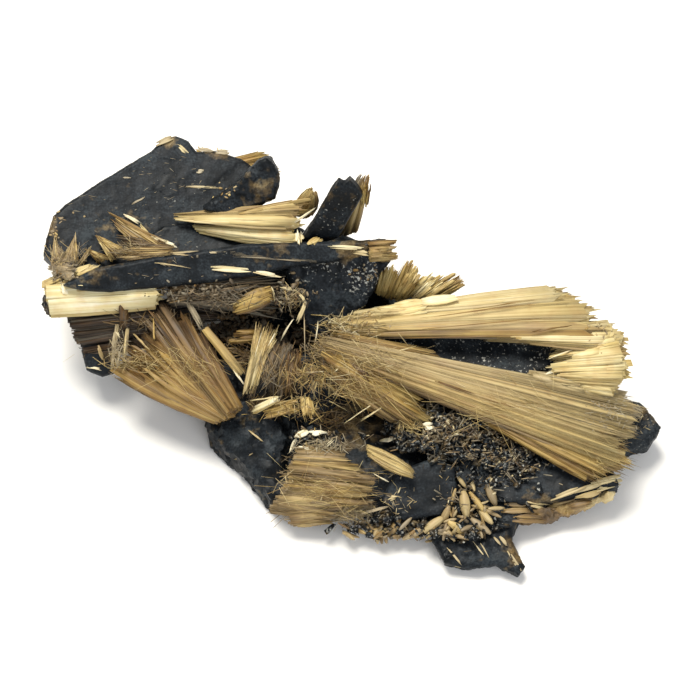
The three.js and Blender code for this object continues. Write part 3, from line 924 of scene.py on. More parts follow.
upperPlate = {
    **tabular, "piece": "upperPlate",
    "glitterSpots": (((70, 60, 70), 3, 0.42), ((45, 35, 60), 2.5, 0.3)),
    "stainSpots": (
        ((2, 30, 65), 1.2, 0.4), ((58, 95, 100), 1.1, 0.55), ((85, 88, 85), 1.2, 0.5),
        ((40, 30, 60), 2.5, 0.24),
    ),
}
growCrystal(upperPlate)

stepPlate = {
    **tabular, "piece": "stepPlate",
    "glitter": 0.2, "stain": 0.14,
}
growCrystal(stepPlate)

upperKnob = {
    **tabular, "piece": "upperKnob", "relief": plateRelief,
    "glitter": 0.25, "stain": 0.14,
    "stainSpots": (((80, 35, 50), 2.2, 0.34), ((30, 50, 70), 1.2, 0.34)),
}
growCrystal(upperKnob)

standingBlade = {
    **tabular, "piece": "standingBlade", "grain": 0.09,
    "glitter": 0.5, "stain": 0.2, "stainSpots": (((10, 50, 50), 1, 0.45),),
}
growCrystal(standingBlade)
print("hematite crystals are grown")

# the sheaf under the lower right blade broke across its needles, which leaves a lumpy brown crust
crustRelief = (("CLOUDS", 1.3, 0.8, clouds), ("VORONOI", 0.5, 0.35, {}), ("CLOUDS", 0.22, 0.22, clouds))
lowerEdge = {
    **massive, "piece": "lowerEdge", "family": "rutile", "relief": crustRelief,
    "finish": rutile, "paints": ("tone", "frost"), "tone": 0.24,
    "toneSpots": (
        ((30, 20, 60), 1.1, 0.42), ((60, 50, 80), 1.2, 0.56), ((80, 80, 90), 1.4, 0.66),
        ((100, 90, 90), 1.2, 0.75), ((5, 50, 80), 0.9, 0.5),
    ),
    "frostSpots": (((90, 90, 100), 2.5, 0.4),), "run": (1, 0.5, 0), "across": (0, -0.4, 1),
}
runNeedles(growCrystal(lowerEdge), lowerEdge["run"], lowerEdge["across"])

upperLath = {
    "piece": "upperLath", "seed": 11, "sheets": [
        # its back side is darker and its front side lighter: painted shade and light
        sheet(planks, ((9, 118, -1), (11, 66, 30)), ((93, 61, 105), (92, 0, 78)), (0.4, 0.6), (0.68, 0.86),
              (0.3, 0.2), toneSide=(-0.12, 0.06), lathWidth=(0.3, 0.9), uneven=0.3, rootPoint=0.95,
              rootRagged=2),
        sheet(planks, ((52, 75, 65), (53, 49, 63)), ((97, 95, 114), (99, 81, 46)), (0.4, 0.6), (0.56, 0.78),
              (0.2, 0.2), rootPoint=0.9, rootRagged=2.2, ragged=2, uneven=0.3, cracks=0.2,
              lathWidth=(0.2, 0.6)),
    ],
    "slivers": [((88, 5, 84), (104, 37, 140), 0.25, 0.95, 0.1)],
}
growSheaf(upperLath)

upperWedge = {
    "piece": "upperWedge", "seed": 12, "sheets": [
        sheet(planks, ((-7, 132, 9), (-3, 105, 1)), ((99, 71, 61), (94, -22, 46)), (0.5, 1), (0.78, 0.92),
              (0, 0), lathWidth=(0.4, 1.1)),
    ],
    "slivers": [
        ((93, 52, 105), (96, -76, 158), 0.5, 0.98, 0.1),
        ((97, 99, 17), (98, -62, 155), 0.35, 0.9, 0.2),
    ],
}
growSheaf(upperWedge)

leaf = {
    "piece": "leaf", "seed": 13, "sheets": [
        sheet(silk, ((0, 39, 8), (69, 39, 1)), ((69, 86, 99), (100, 74, 92)), (0.7, 0.4), (0.56, 0.72),
              (0.2, 0.1), belly=0.5, ragged=0.3, bundle=0.25),
    ],
}
growSheaf(leaf)

bladeBacking = {
    "piece": "bladeBacking", "seed": 14, "sheets": [
        sheet(silk, ((-1, 34, 1), (68, 40, 1)), ((74, 79, 98), (102, 79, 100)), (1.2, 0.7), (0.3, 0.55),
              (0.45, 0.1), bundle=0.3),
        sheet(hairs, ((83, 33, 54), (97, 25, 57)), ((78, 30, 106), (104, 19, 106)), (0.6, 0.4), (0.5, 0.68),
              (0, 0), stray=1),
    ],
}
growSheaf(bladeBacking)

leftSpray = {
    "piece": "leftSpray", "seed": 15, "sheets": [
        sheet(tuftHairs, ((82, 25, 95), (58, 12, 44)), ((25, 107, 76), (21, 96, 69)), (0.9, 0.3),
              (0.34, 0.54), (0.1, 0.15), ragged=3, stray=1.2, lathWidth=(0.06, 0.2)),
        sheet(tuftHairs, ((89, 25, 90), (86, -18, 129)), ((33, 52, 73), (22, 3, 26)), (0.8, 0.7),
              (0.3, 0.48), (0.12, 0.2), ragged=2.2, stray=1.5, lathWidth=(0.06, 0.2), flat=(0.15, 0.3)),
        sheet(hairs, ((41, 18, 71), (26, 5, 13)), ((12, 60, 56), (11, 55, 50)), (0.5, 0.2), (0.45, 0.65),
              (0.1, 0.1), stray=1),
        sheet(hairs, ((26, 6, 47), (14, 13, -19)), ((5, 31, 31), (5, 24, 24)), (0.4, 0.2), (0.4, 0.6),
              (0.1, 0.1), stray=1, ragged=1.2),
    ],
    "wisps": [
        tangle((51, 17, 75), (2, 0.7, 0.3), 90, (0.35, 0.7), (0.2, 0.6), along=(-1, 0.35, 0.2),
               length=(0.6, 1.8), width=(0.03, 0.06)),
    ],
    "slivers": [
        ((62, 14, 30), (140, -16, 147), 0.35, 0.5, 0.8),
        ((74, 8, 81), (132, -13, 152), 0.3, 0.55, 0.7),
        ((59, 5, 81), (101, -15, 144), 0.25, 0.6, 0.5),
        ((34, 114, 53), (53, 93, 33), 0.3, 0.95, 0.3),
        ((51, 97, 37), (64, 41, 94), 0.18, 0.75, 0.3),
        ((62, 43, 93), (80, 29, 100), 0.2, 0.95, 0.3),
        ((75, 31, 100), (89, 15, 106), 0.26, 0.97, 0.2),
    ],
}
growSheaf(leftSpray)

leftTuft = {
    "piece": "leftTuft", "seed": 16, "sheets": [
        sheet(tuftHairs, ((76, 35, 74), (30, 29, 64)), ((69, 99, 97), (64, 94, 92)), (0.7, 0.3),
              (0.42, 0.62), (0.2, 0.3)),
        sheet(tuftHairs, ((46, 27, 69), (9, 33, 53)), ((17, 103, 82), (12, 100, 77)), (0.6, 0.3),
              (0.42, 0.62), (0.3, 0.3)),
        sheet(hairs, ((89, 52, 45), (71, 26, 71)), ((101, 61, 82), (95, 59, 77)), (0.4, 0.2), (0.42, 0.62),
              (0.3, 0.3), stray=1, ragged=1),
        sheet(silk, ((81, 40, 75), (75, -21, 117)), ((14, 51, 70), (8, 23, 6)), (0.9, 0.9), (0.22, 0.45),
              (0.4, 0.5), ragged=1, broken=0.6, stray=3, rootRagged=0.8),
    ],
    "wisps": [
        tangle((45, 47, 81), (1, 0.8, 0.3), 110, (0.3, 0.7), (0.2, 0.6), along=(0.1, 1, 0.3), spread=0.3,
               length=(0.6, 1.8)),
        tangle((46, 10, 63), (1.2, 0.6, 0.3), 130, (0.1, 0.5), (0.3, 0.8), spread=1, length=(0.3, 0.9)),
    ],
}
growSheaf(leftTuft)

leftLath = {
    "piece": "leftLath", "seed": 17, "sheets": [
        sheet(planks, ((0, 86, 71), (5, 14, 7)), ((98, 80, 103), (100, 25, 44)), (1.3, 1.3), (0.74, 0.86),
              (0, 0), ragged=0.12, broken=0.06, point=0, cracks=0.16, uneven=0.14, lathWidth=(0.5, 1.3),
              roll=0.01),
        sheet(planks, ((-2, 102, 49), (1, 65, 27)), ((50, 156, 139), (53, 123, 144)), (0.7, 0.4),
              (0.74, 0.92), (0.15, 0.15), broken=0.2, point=0.8, ragged=1.4),
        sheet(planks, ((12, 103, 74), (14, 50, 87)), ((44, 122, 49), (45, 83, 49)), (0.5, 0.5), (0.88, 1),
              (0, 0), point=0.8, ragged=1.4),
    ],
    "slivers": [((31, 26, 150), (59, 104, 47), 0.3, 0.9, 0.1)],
}
growSheaf(leftLath)

ridgeCrust = {
    "piece": "ridgeCrust", "seed": 18, "sheets": [
        sheet(hairs, ((-2, 73, 66), (3, 23, 20)), ((101, 100, 90), (97, 11, 12)), (1.2, 1.6), (0.08, 0.3),
              (0.1, 0.25), broken=0.8, ragged=2.5, coats=(4, 2.2), lathWidth=(0.1, 0.35)),
        sheet(silk, ((81, 41, 91), (83, 13, 65)), ((49, 10, 55), (50, -21, 37)), (0.7, 0.6), (0.5, 0.66),
              (0, 0), belly=0.3, rootPoint=0.5, crown=0.2),
    ],
    "wisps": [
        tangle((53, 22, 61), (3.4, 0.7, 0.8), 260, (0.05, 0.34), (0.1, 0.4), length=(0.4, 1.6), spread=0.6),
        tangle((96, 20, 64), (0.8, 0.6, 0.7), 120, (0.2, 0.8), (0.2, 0.6), length=(0.3, 1.1), spread=1.5),
    ],
    "slivers": [
        ((81, 39, 94), (84, 9, 66), 0.22, 0.85, 0.3),
        ((87, 36, 93), (100, 33, 79), 0.3, 0.85, 0.4),
        ((100, 31, 87), (108, -5, 71), 0.3, 0.8, 0.4),
        ((107, -2, 71), (101, -50, 40), 0.28, 0.7, 0.5),
        ((49, 2, 56), (74, 16, 79), 0.16, 0.85, 0.3),
        ((27, 42, 113), (38, 128, -14), 0.2, 0.9, 0.3),
    ],
}
growSheaf(ridgeCrust)

ridgeCap = {
    "piece": "ridgeCap", "seed": 19, "sheets": [
        sheet(silk, ((0, 83, 66), (4, 13, 18)), ((100, 89, 80), (91, 19, 18)), (1.5, 1.3), (0.3, 0.62),
              (0.05, 0.2)),
        sheet(silk, ((-444, 50, 59), (-432, 23, 38)), ((-145, 154, -25), (-163, 11, 25)), (0.25, 0.3),
              (0.1, 0.3), (0.35, 0.45), rootRagged=3, rootPoint=0.9, broken=0.5, lathWidth=(0.08, 0.3),
              ragged=2, cracks=0, coats=(3, 2)),
    ],
}
growSheaf(ridgeCap)

backFan = {
    "piece": "backFan", "seed": 20, "sheets": [
        sheet(silk, ((79, -3, 18), (100, 6, 8)), ((0, 82, 64), (100, 91, 80)), (1.6, 1.6), (0.5, 0.75),
              (0.2, 0.1), crown=1),
    ],
}
growSheaf(backFan)

backFin = {
    "piece": "backFin", "seed": 21, "sheets": [
        sheet(silk, ((-114, 63, 15), (-57, -2, -16)), ((47, 97, 77), (100, 6, 46)), (1.1, 0.9), (0.5, 0.72),
              (0, 0), crown=0.5),
    ],
}
growSheaf(backFin)

rearFan = {
    "piece": "rearFan", "seed": 22, "sheets": [
        sheet(silk, ((37, -18, 110), (81, -14, 107)), ((-6, 82, 16), (100, 68, 12)), (1.2, 1.8),
              (0.52, 0.78), (0.1, 0.2), crown=0.6),
    ],
}
growSheaf(rearFan)

backTuft = {
    "piece": "backTuft", "seed": 23, "sheets": [
        sheet(silk, ((0, 36, 21), (56, 18, 7)), ((17, 98, 107), (100, 71, 79)), (1.3, 0.8), (0.5, 0.74),
              (0, 0)),
    ],
    "slivers": [((74, 15, 79), (87, 51, 85), 0.35, 0.6, 0.2)],
}
growSheaf(backTuft)

backLump = {
    "piece": "backLump", "seed": 24, "sheets": [
        sheet(silk, ((0, 28, 20), (61, 38, 11)), ((40, 85, 93), (107, 54, 61)), (1.4, 1.2), (0.62, 0.88),
              (0.1, 0.1), crown=0.3),
    ],
}
growSheaf(backLump)

upperRightFan = {
    "piece": "upperRightFan", "seed": 25, "sheets": [
        # the upper back side is lighter and the lower front side darker: painted light and shade
        sheet(planks, ((0, 45, 67), (1, 14, 52)), ((75, 89, 94), (92, 8, 73)), (1.3, 1.4), (0.54, 0.72),
              (0.3, 0.2), crown=1, bow=-0.2, toneSide=(0.08, -0.08), coats=(7, 2.2), cracks=0.14,
              ragged=0.3, broken=0.15, uneven=0.14, point=0.12, rootPoint=0.8, rootRagged=1.5),
        sheet(planks, ((3, 50, 87), (3, 28, 77)), ((75, 86, 108), (86, 46, 103)), (0.7, 0.7), (0.62, 0.78),
              (0.3, 0.15), crown=0.3, toneSide=(0.06, -0.06), ragged=0.5, point=0.15, rootRagged=2,
              rootPoint=0.9, lathWidth=(0.4, 1.1)),
        sheet(planks, ((11, 56, 93), (8, 34, 82)), ((47, 72, 127), (47, 48, 122)), (0.3, 0.3), (0.72, 0.88),
              (0, 0), rootRagged=1.6, rootPoint=0.8, ragged=5, point=1),
        sheet(planks, ((50, 14, 61), (50, 14, 30)), ((93, 21, 77), (96, 3, 57)), (0.6, 0.6), (0.54, 0.68),
              (0.35, 0.35), rootRagged=4, rootPoint=0.9, ragged=0.4),
        sheet(hairs, ((-5, 39, 62), (-5, 14, 52)), ((19, 49, 99), (19, 16, 69)), (0.8, 0.8), (0.5, 0.82),
              (0.2, 0.1), broken=0.7, ragged=1.5, stray=5),
    ],
    "wisps": [
        tangle((3, 26, 73), (2.2, 1, 0.6), 260, (0.3, 0.95), (0, 0.5), length=(0.4, 1.6), along=(1, 0.1, 0),
               spread=0.5),
        tangle((83, 54, 101), (0.8, 1.1, 0.3), 50, (0.5, 0.9), (0.2, 0.5), length=(0.3, 0.8),
               along=(1, -0.2, 0), spread=0.5),
    ],
    "slivers": [
        ((28, 30, 116), (75, 57, 132), 0.13, 0.42, 0),
        ((25, 15, 97), (74, 30, 122), 0.12, 0.42, 0),
        ((47, 45, 126), (77, 64, 133), 0.1, 0.46, 0),
        ((67, 9, 100), (84, 19, 115), 0.2, 0.38, 0),
        ((21, 8, 71), (65, 8, 90), 0.12, 0.38, 0),
        ((-2, 15, 80), (3, 20, 85), 0.16, 0.95, 0.4),
        ((3, 18, 80), (7, 7, 75), 0.2, 0.95, 0.3),
    ],
}
growSheaf(upperRightFan)

rightLobe = {
    "piece": "rightLobe", "seed": 26, "sheets": [
        sheet(lobePlanks, ((17, 105, 30), (9, 50, 55)), ((74, 121, 113), (97, 49, 100)), (1.1, 1.4),
              (0.72, 0.82), (0.15, 0.15), crown=0.5, ragged=0.1, rootRagged=1.8),
        sheet(lobePlanks, ((9, 59, 55), (27, 24, 27)), ((99, 66, 90), (84, 1, 44)), (1, 1.2), (0.72, 0.82),
              (0.15, 0.15), crown=0.4, rootRagged=1.4, ragged=0.15),
        sheet(lobePlanks, ((-37, 105, 120), (-26, 92, 112)), ((78, 129, 129), (101, 72, 112)), (0.6, 0.9),
              (0.64, 0.78), (0.35, 0.2), crown=0.3, ragged=0.25, rootRagged=3, broken=0.05, uneven=0.1),
    ],
    "slivers": [
        ((10, 59, 103), (43, 84, 103), 0.16, 0.97, 0.2),
        ((3, 35, 60), (18, 45, 66), 0.16, 0.98, 0.2),
    ],
}
growSheaf(rightLobe)

greatFan = {
    "piece": "greatFan", "seed": 27, "sheets": [
        sheet(wideSilk, ((3, 97, 103), (2, 85, 96)), ((100, 62, 50), (95, 6, 31)), (1.5, 1.6), (0.52, 0.62),
              (0.45, 0.15), crown=0.5, toneRun=(-0.1, 0.08), lathWidth=(0.2, 0.8), coats=(7, 5),
              cracks=0.02, uneven=0.04, rootPoint=0.9, rootRagged=2.4),
        sheet(silk, ((8, 99, 107), (7, 89, 103)), ((37, 94, 77), (44, 72, 77)), (0.8, 0.7), (0.44, 0.56),
              (0.1, 0.2), coats=(6, 3.1), rootPoint=0.9, rootRagged=2, ragged=2.5, crown=0.3),
        sheet(satinSilk, ((6, 91, 106), (7, 86, 102)), ((98, 62, 54), (96, 36, 43)), (0.4, 0.5),
              (0.62, 0.7), (0.5, 0.35), toneRun=(-0.12, 0.12), lathWidth=(0.5, 1.3), coats=(4, 4),
              uneven=0.04, crown=0.4, rootRagged=3, rootPoint=0),
        sheet(silk, ((50, 56, 65), (55, 40, 50)), ((94, 17, 35), (89, -2, 20)), (1, 1.1), (0.44, 0.58),
              (0.05, 0), cracks=0.02, rootRagged=2.5, rootPoint=0.8),
        sheet(satinSilk, ((61, 78, 70), (67, 60, 63)), ((99, 65, 53), (98, 48, 46)), (0.8, 0.8), (0.7, 0.8),
              (0.5, 0.4), rootRagged=2.5, ragged=1),
        sheet(satinSilk, ((68, 78, 72), (69, 67, 66)), ((88, 69, 66), (88, 58, 59)), (0.8, 0.8),
              (0.6, 0.72), (0.4, 0.4), lathWidth=(0.3, 0.9), rootRagged=0.6, mixing=0.03),
        sheet(silk, ((90, 70, 53), (91, 50, 42)), ((104, 58, 32), (101, 39, 21)), (0.7, 0.6), (0.46, 0.62),
              (0.75, 0.6), rootRagged=1, rootPoint=0.9, stray=1.5, lathWidth=(0.08, 0.3)),
        sheet(hairs, ((73, 56, 59), (78, 30, 52)), ((98, 35, 39), (100, 8, 15)), (0.8, 0.9), (0.5, 0.66),
              (0.05, 0.05), stray=1.2, ragged=1.2, lathWidth=(0.08, 0.3)),
        sheet(silk, ((27, 70, 79), (28, 64, 70)), ((52, 56, 67), (50, 51, 62)), (0.7, 0.7), (0.48, 0.62),
              (0.3, 0.4), rootRagged=0.8, rootPoint=0.8),
    ],
    "wisps": [
        tangle((4, 87, 99), (0.9, 1.3, 0.6), 150, (0.15, 0.65), (0.1, 0.4), along=(1, -0.5, -0.1),
               spread=0.6, length=(0.6, 2)),
        tangle((18, 79, 104), (3, 1.2, 0.2), 120, (0.4, 0.85), (0.1, 0.5), along=(1, -0.4, -0.1),
               spread=0.3, length=(1, 3), width=(0.03, 0.06)),
        tangle((62, 48, 76), (4.5, 1.8, 0.15), 130, (0.5, 0.85), (0, 0.3), along=(1, -0.35, -0.1),
               spread=0.15, length=(1, 4), width=(0.025, 0.045)),
        tangle((92, 29, 44), (1.2, 2.4, 0.4), 160, (0.4, 0.75), (0, 0.3), along=(1, -0.35, -0.1),
               spread=0.25, length=(0.6, 2), width=(0.025, 0.05)),
    ],
    "slivers": [
        ((20, 82, 96), (33, 90, 100), 0.09, 0.85, 0.2),
        ((22, 72, 93), (28, 78, 95), 0.07, 0.85, 0.2),
        ((10, 38, 58), (24, 57, 78), 0.09, 0.9, 0),
        ((14, 38, 58), (23, 49, 72), 0.08, 0.85, 0.1),
        ((27, 66, 88), (40, 58, 85), 0.2, 0.34, 0),
        ((37, 65, 92), (52, 54, 82), 0.22, 0.3, 0),
        ((52, 53, 81), (67, 45, 73), 0.16, 0.36, 0),
        ((62, 44, 70), (78, 27, 56), 0.18, 0.34, 0),
        ((73, 31, 60), (85, 19, 50), 0.14, 0.38, 0),
        ((92, 42, 48), (96, 31, 48), 0.22, 0.98, 0.1),
        ((87, 14, 37), (94, 7, 33), 0.3, 0.05, 0),
        ((34, 84, 87), (51, 75, 79), 0.09, 0.85, 0.3),
        ((73, 32, 49), (83, 37, 51), 0.08, 0.9, 0.1),
    ],
}
growSheaf(greatFan)

frontBundle = {
    "piece": "frontBundle", "seed": 28, "sheets": [
        sheet(wideSilk, ((13, 105, 97), (8, 73, 78)), ((99, 42, 40), (83, -1, 21)), (1.8, 1.3),
              (0.42, 0.56), (0, 0.1), crown=0.3, coats=(7, 3.1), rootPoint=0.8, rootRagged=2),
        sheet(wideSilk, ((32, 74, 84), (26, 59, 71)), ((107, 15, 30), (97, -2, 24)), (0.9, 0.8),
              (0.48, 0.6), (0, 0.1), rootPoint=0.9, rootRagged=1.5),
        sheet(silk, ((19, 76, 62), (16, 62, 50)), ((68, 35, 37), (62, 19, 21)), (0.9, 0.8), (0.38, 0.54),
              (0, 0.1), rootPoint=0.9, rootRagged=1.2, ragged=2),
    ],
    "wisps": [
        tangle((45, 44, 88), (2.6, 1.6, 0.25), 160, (0.35, 0.75), (0, 0.3), along=(1, -0.7, -0.2),
               spread=0.3, length=(1, 3), width=(0.03, 0.055)),
        tangle((90, 5, 30), (0.9, 0.7, 0.3), 90, (0.5, 0.8), (0, 0.3), along=(1, -0.8, -0.2), spread=0.3,
               length=(0.4, 1.2)),
    ],
    "slivers": [
        ((96, -1, 33), (107, 3, 33), 0.5, 1, 0.2),
        ((28, 84, 99), (55, 57, 86), 0.5, 0.25, 0),
        ((19, 59, 65), (32, 49, 65), 0.3, 0.1, 0),
    ],
}
growSheaf(frontBundle)

# its tone is kept near black brown: the sheaf's own brown with painted shade under the left lath
underLath = {
    "piece": "underLath", "seed": 29, "sheets": [
        sheet(silk, ((0, 75, 69), (17, 2, -8)), ((100, 86, 93), (96, 27, 28)), (1.6, 1.8), (0.02, 0.2),
              (0, 0), cracks=0.2, rootRagged=0.8),
        sheet(silk, ((48, 122, 60), (49, 46, 30)), ((145, 128, 60), (142, 52, 30)), (0.8, 0.8),
              (0.02, 0.16), (0, 0), cracks=0, coats=(5, 1.5)),
    ],
    "wisps": [
        tangle((80, 37, 84), (3, 0.6, 0.6), 120, (0.1, 0.45), (0, 0.3), length=(0.5, 1.8), spread=0.4),
    ],
}
growSheaf(underLath)

leftFan = {
    "piece": "leftFan", "seed": 30, "sheets": [
        sheet(wideSilk, ((100, 13, 25), (89, 3, 5)), ((45, 96, 90), (-3, 50, 32)), (1.5, 1.7), (0.28, 0.42),
              (0, 0), crown=0.3, bow=-0.1, lathWidth=(0.2, 0.8), cracks=0.1, coats=(7, 4), ragged=1.6),
        sheet(wideSilk, ((101, 2, 45), (86, -6, 29)), ((62, 100, 95), (15, 103, 92)), (1.2, 1.2),
              (0.3, 0.44), (0, 0.05), lathWidth=(0.2, 0.8), toneRun=(0.1, -0.14), ragged=2.4, bow=0.1,
              cracks=0.12, coats=(6, 4)),
        sheet(wideSilk, ((96, -3, 34), (79, -7, 20)), ((36, 74, 74), (-5, 46, 38)), (1, 1), (0.36, 0.5),
              (0, 0.1), ragged=2.2, bow=0.3, cracks=0.08, coats=(6, 4), point=1),
    ],
    "wisps": [
        tangle((22, 53, 61), (2.4, 1.1, 0.5), 200, (0.45, 0.75), (0.1, 0.4), along=(-1, 0.25, 0.1),
               spread=0.5, length=(0.5, 1.6)),
        tangle((60, 39, 78), (2.4, 1.8, 0.3), 100, (0.4, 0.75), (0, 0.3), along=(-1, 0.9, 0.4), spread=0.2,
               length=(1, 3), width=(0.03, 0.055)),
    ],
    "slivers": [
        ((31, 92, 95), (32, 60, 87), 0.22, 0.6, 0),
        ((14, 81, 75), (28, 57, 82), 0.28, 0.62, 0.3),
    ],
}
growSheaf(leftFan)

leftPost = {
    "piece": "leftPost", "seed": 31, "sheets": [
        sheet(planks, ((62, 107, 122), (104, 120, 90)), ((61, 77, 63), (106, 77, 63)), (0.25, 0.25),
              (0.2, 0.36), (0, 0), lathWidth=(0.15, 0.4)),
        sheet(hairs, ((35, 84, 67), (55, 84, 67)), ((12, 13, 8), (32, 11, 8)), (0.5, 0.4), (0.5, 0.75),
              (0.6, 0.6), stray=1.5),
        sheet(hairs, ((95, 89, 67), (110, 89, 67)), ((67, 4, 0), (88, 1, 0)), (0.5, 0.4), (0.6, 0.78),
              (0.4, 0.4), stray=1.5),
    ],
    "wisps": [
        tangle((54, 32, 52), (0.6, 1.4, 0.3), 60, (0.2, 0.7), (0.5, 0.9), along=(0, -1, -0.4), spread=0.5,
               length=(0.4, 1.4)),
    ],
    "slivers": [
        ((43, 63, 84), (69, 49, 76), 0.2, 0.8, 0.6),
        ((29, 27, 53), (73, 25, 35), 0.2, 0.6, 0.6),
    ],
}
growSheaf(leftPost)

centreStick = {
    "piece": "centreStick", "seed": 32, "sheets": [
        sheet(silk, ((4, -5, 25), (45, 0, 31)), ((47, 90, 75), (105, 86, 75)), (0.7, 0.8), (0.6, 0.74),
              (0.35, 0.2), coats=(6, 2.7), ragged=1.4, point=1, rootPoint=0.9, rootRagged=1),
        sheet(hairs, ((26, 44, 57), (77, 44, 57)), ((44, 106, 86), (124, 96, 86)), (0.5, 0.5), (0.6, 0.8),
              (0.2, 0.1), lathWidth=(0.05, 0.12)),
    ],
    "slivers": [((0, 31, -53), (39, 37, 63), 0.22, 0.95, 0.3)],
}
growSheaf(centreStick)

thinRod = {
    "piece": "thinRod", "seed": 33, "sheets": [
        sheet(hairs, ((-1, 114, 105), (6, 116, 105)), ((33, 67, 77), (43, 70, 78)), (0.5, 0.5), (0.25, 0.6),
              (0.7, 0.7), stray=2),
        sheet(silk, ((33, 70, 83), (41, 75, 83)), ((103, 6, 31), (114, 13, 35)), (0.45, 0.4), (0.5, 0.62),
              (0.2, 0.2), ragged=0.5),
    ],
    "slivers": [((78, 30, 50), (109, -4, 27), 0.16, 0.92, 0.4)],
}
growSheaf(thinRod)

centreTangle = {
    "piece": "centreTangle", "seed": 34, "sheets": [
        sheet(hairs, ((18, 90, 71), (46, 80, 92)), ((-20, 33, 48), (21, 31, 48)), (0.9, 0.9), (0.12, 0.36),
              (0.1, 0.2), stray=8, coats=(2.5, 2.5)),
        sheet(hairs, ((40, 74, 86), (61, 74, 87)), ((26, 33, 56), (46, 30, 57)), (0.8, 0.8), (0.25, 0.5),
              (0, 0), stray=10, coats=(2.5, 2.5)),
        sheet(hairs, ((65, 46, 68), (70, 51, 75)), ((42, 58, 80), (49, 49, 73)), (0.5, 0.4), (0.6, 0.85),
              (0, 0)),
        sheet(silk, ((56, 29, 59), (75, 27, 56)), ((62, 7, 42), (77, 11, 44)), (0.5, 0.4), (0.45, 0.7),
              (0, 0), stray=2, ragged=0.8, rootRagged=0.8, point=0.9, rootPoint=0.6, cracks=0.2),
        sheet(silk, ((0, 29, 25), (7, 11, 37)), ((48, 25, 56), (54, 16, 49)), (0.5, 0.4), (0.5, 0.76),
              (0, 0), stray=2, ragged=1, rootRagged=1, point=0.9, rootPoint=0.6, cracks=0.2),
        sheet(planks, ((23, 28, 60), (26, 24, 57)), ((-20, 28, 20), (-16, 22, 18)), (0.3, 0.3), (0.8, 0.95),
              (0, 0), lathWidth=(0.1, 0.3), ragged=0.6),
        sheet(hairs, ((97, 55, 3), (109, 56, 1)), ((96, 61, 94), (111, 63, 89)), (0.5, 0.5), (0.62, 0.8),
              (0.2, 0.2), stray=2),
        sheet(silk, ((-5, 106, 69), (-5, 97, 60)), ((-53, 105, 69), (-50, 94, 60)), (0.6, 0.5),
              (0.42, 0.56), (0, 0), ragged=1),
    ],
    "wisps": [
        tangle((-36, 89, 46), (1, 1.2, 0.5), 96, (0.2, 0.5), (0, 0.3), along=(-1, 0.2, 0.1), spread=0.4,
               length=(0.8, 2)),
        tangle((21, 55, 71), (1.1, 1.3, 0.6), 132, (0.15, 0.55), (0.1, 0.5), along=(-0.35, -1, -0.3),
               length=(0.8, 2.6)),
        tangle((56, 50, 72), (1.1, 1.2, 0.5), 96, (0.25, 0.7), (0, 0.3), along=(0, -1, -0.3), spread=0.6,
               length=(0.6, 2)),
        tangle((81, 49, 75), (0.9, 1.3, 0.5), 96, (0.35, 0.75), (0, 0.3), along=(0.1, -1, -0.3),
               spread=0.4),
        tangle((54, 19, 48), (2, 0.8, 0.5), 120, (0.2, 0.8), (0, 0.3), spread=1.2, length=(0.4, 1.5)),
        tangle((103, 31, -10), (1.8, 0.9, 0.5), 132, (0.2, 0.52), (0, 0.3), along=(1, 0.1, 0), spread=0.6,
               length=(0.6, 2)),
        tangle((0, 33, 25), (0.9, 0.6, 0.4), 54, (0.2, 0.6), (0, 0.3), spread=1.2, length=(0.4, 1.4)),
    ],
    "slivers": [
        ((24, 85, 80), (46, 105, 103), 0.18, 0.95, 0.6),
        ((62, 112, 114), (64, 62, 85), 0.08, 0.45, 0.5),
        ((62, 47, 84), (96, 48, 84), 0.06, 0.85, 0.2),
        ((106, 45, 88), (116, 52, 90), 0.07, 0.9, 0.1),
        ((78, 79, 86), (83, 102, 104), 0.1, 0.9, 0.6),
        ((90, 78, 93), (97, 56, 96), 0.08, 0.8, 0.1),
        ((-27, 23, 56), (39, 25, 70), 0.14, 0.75, 0.3),
    ],
}
growSheaf(centreTangle)

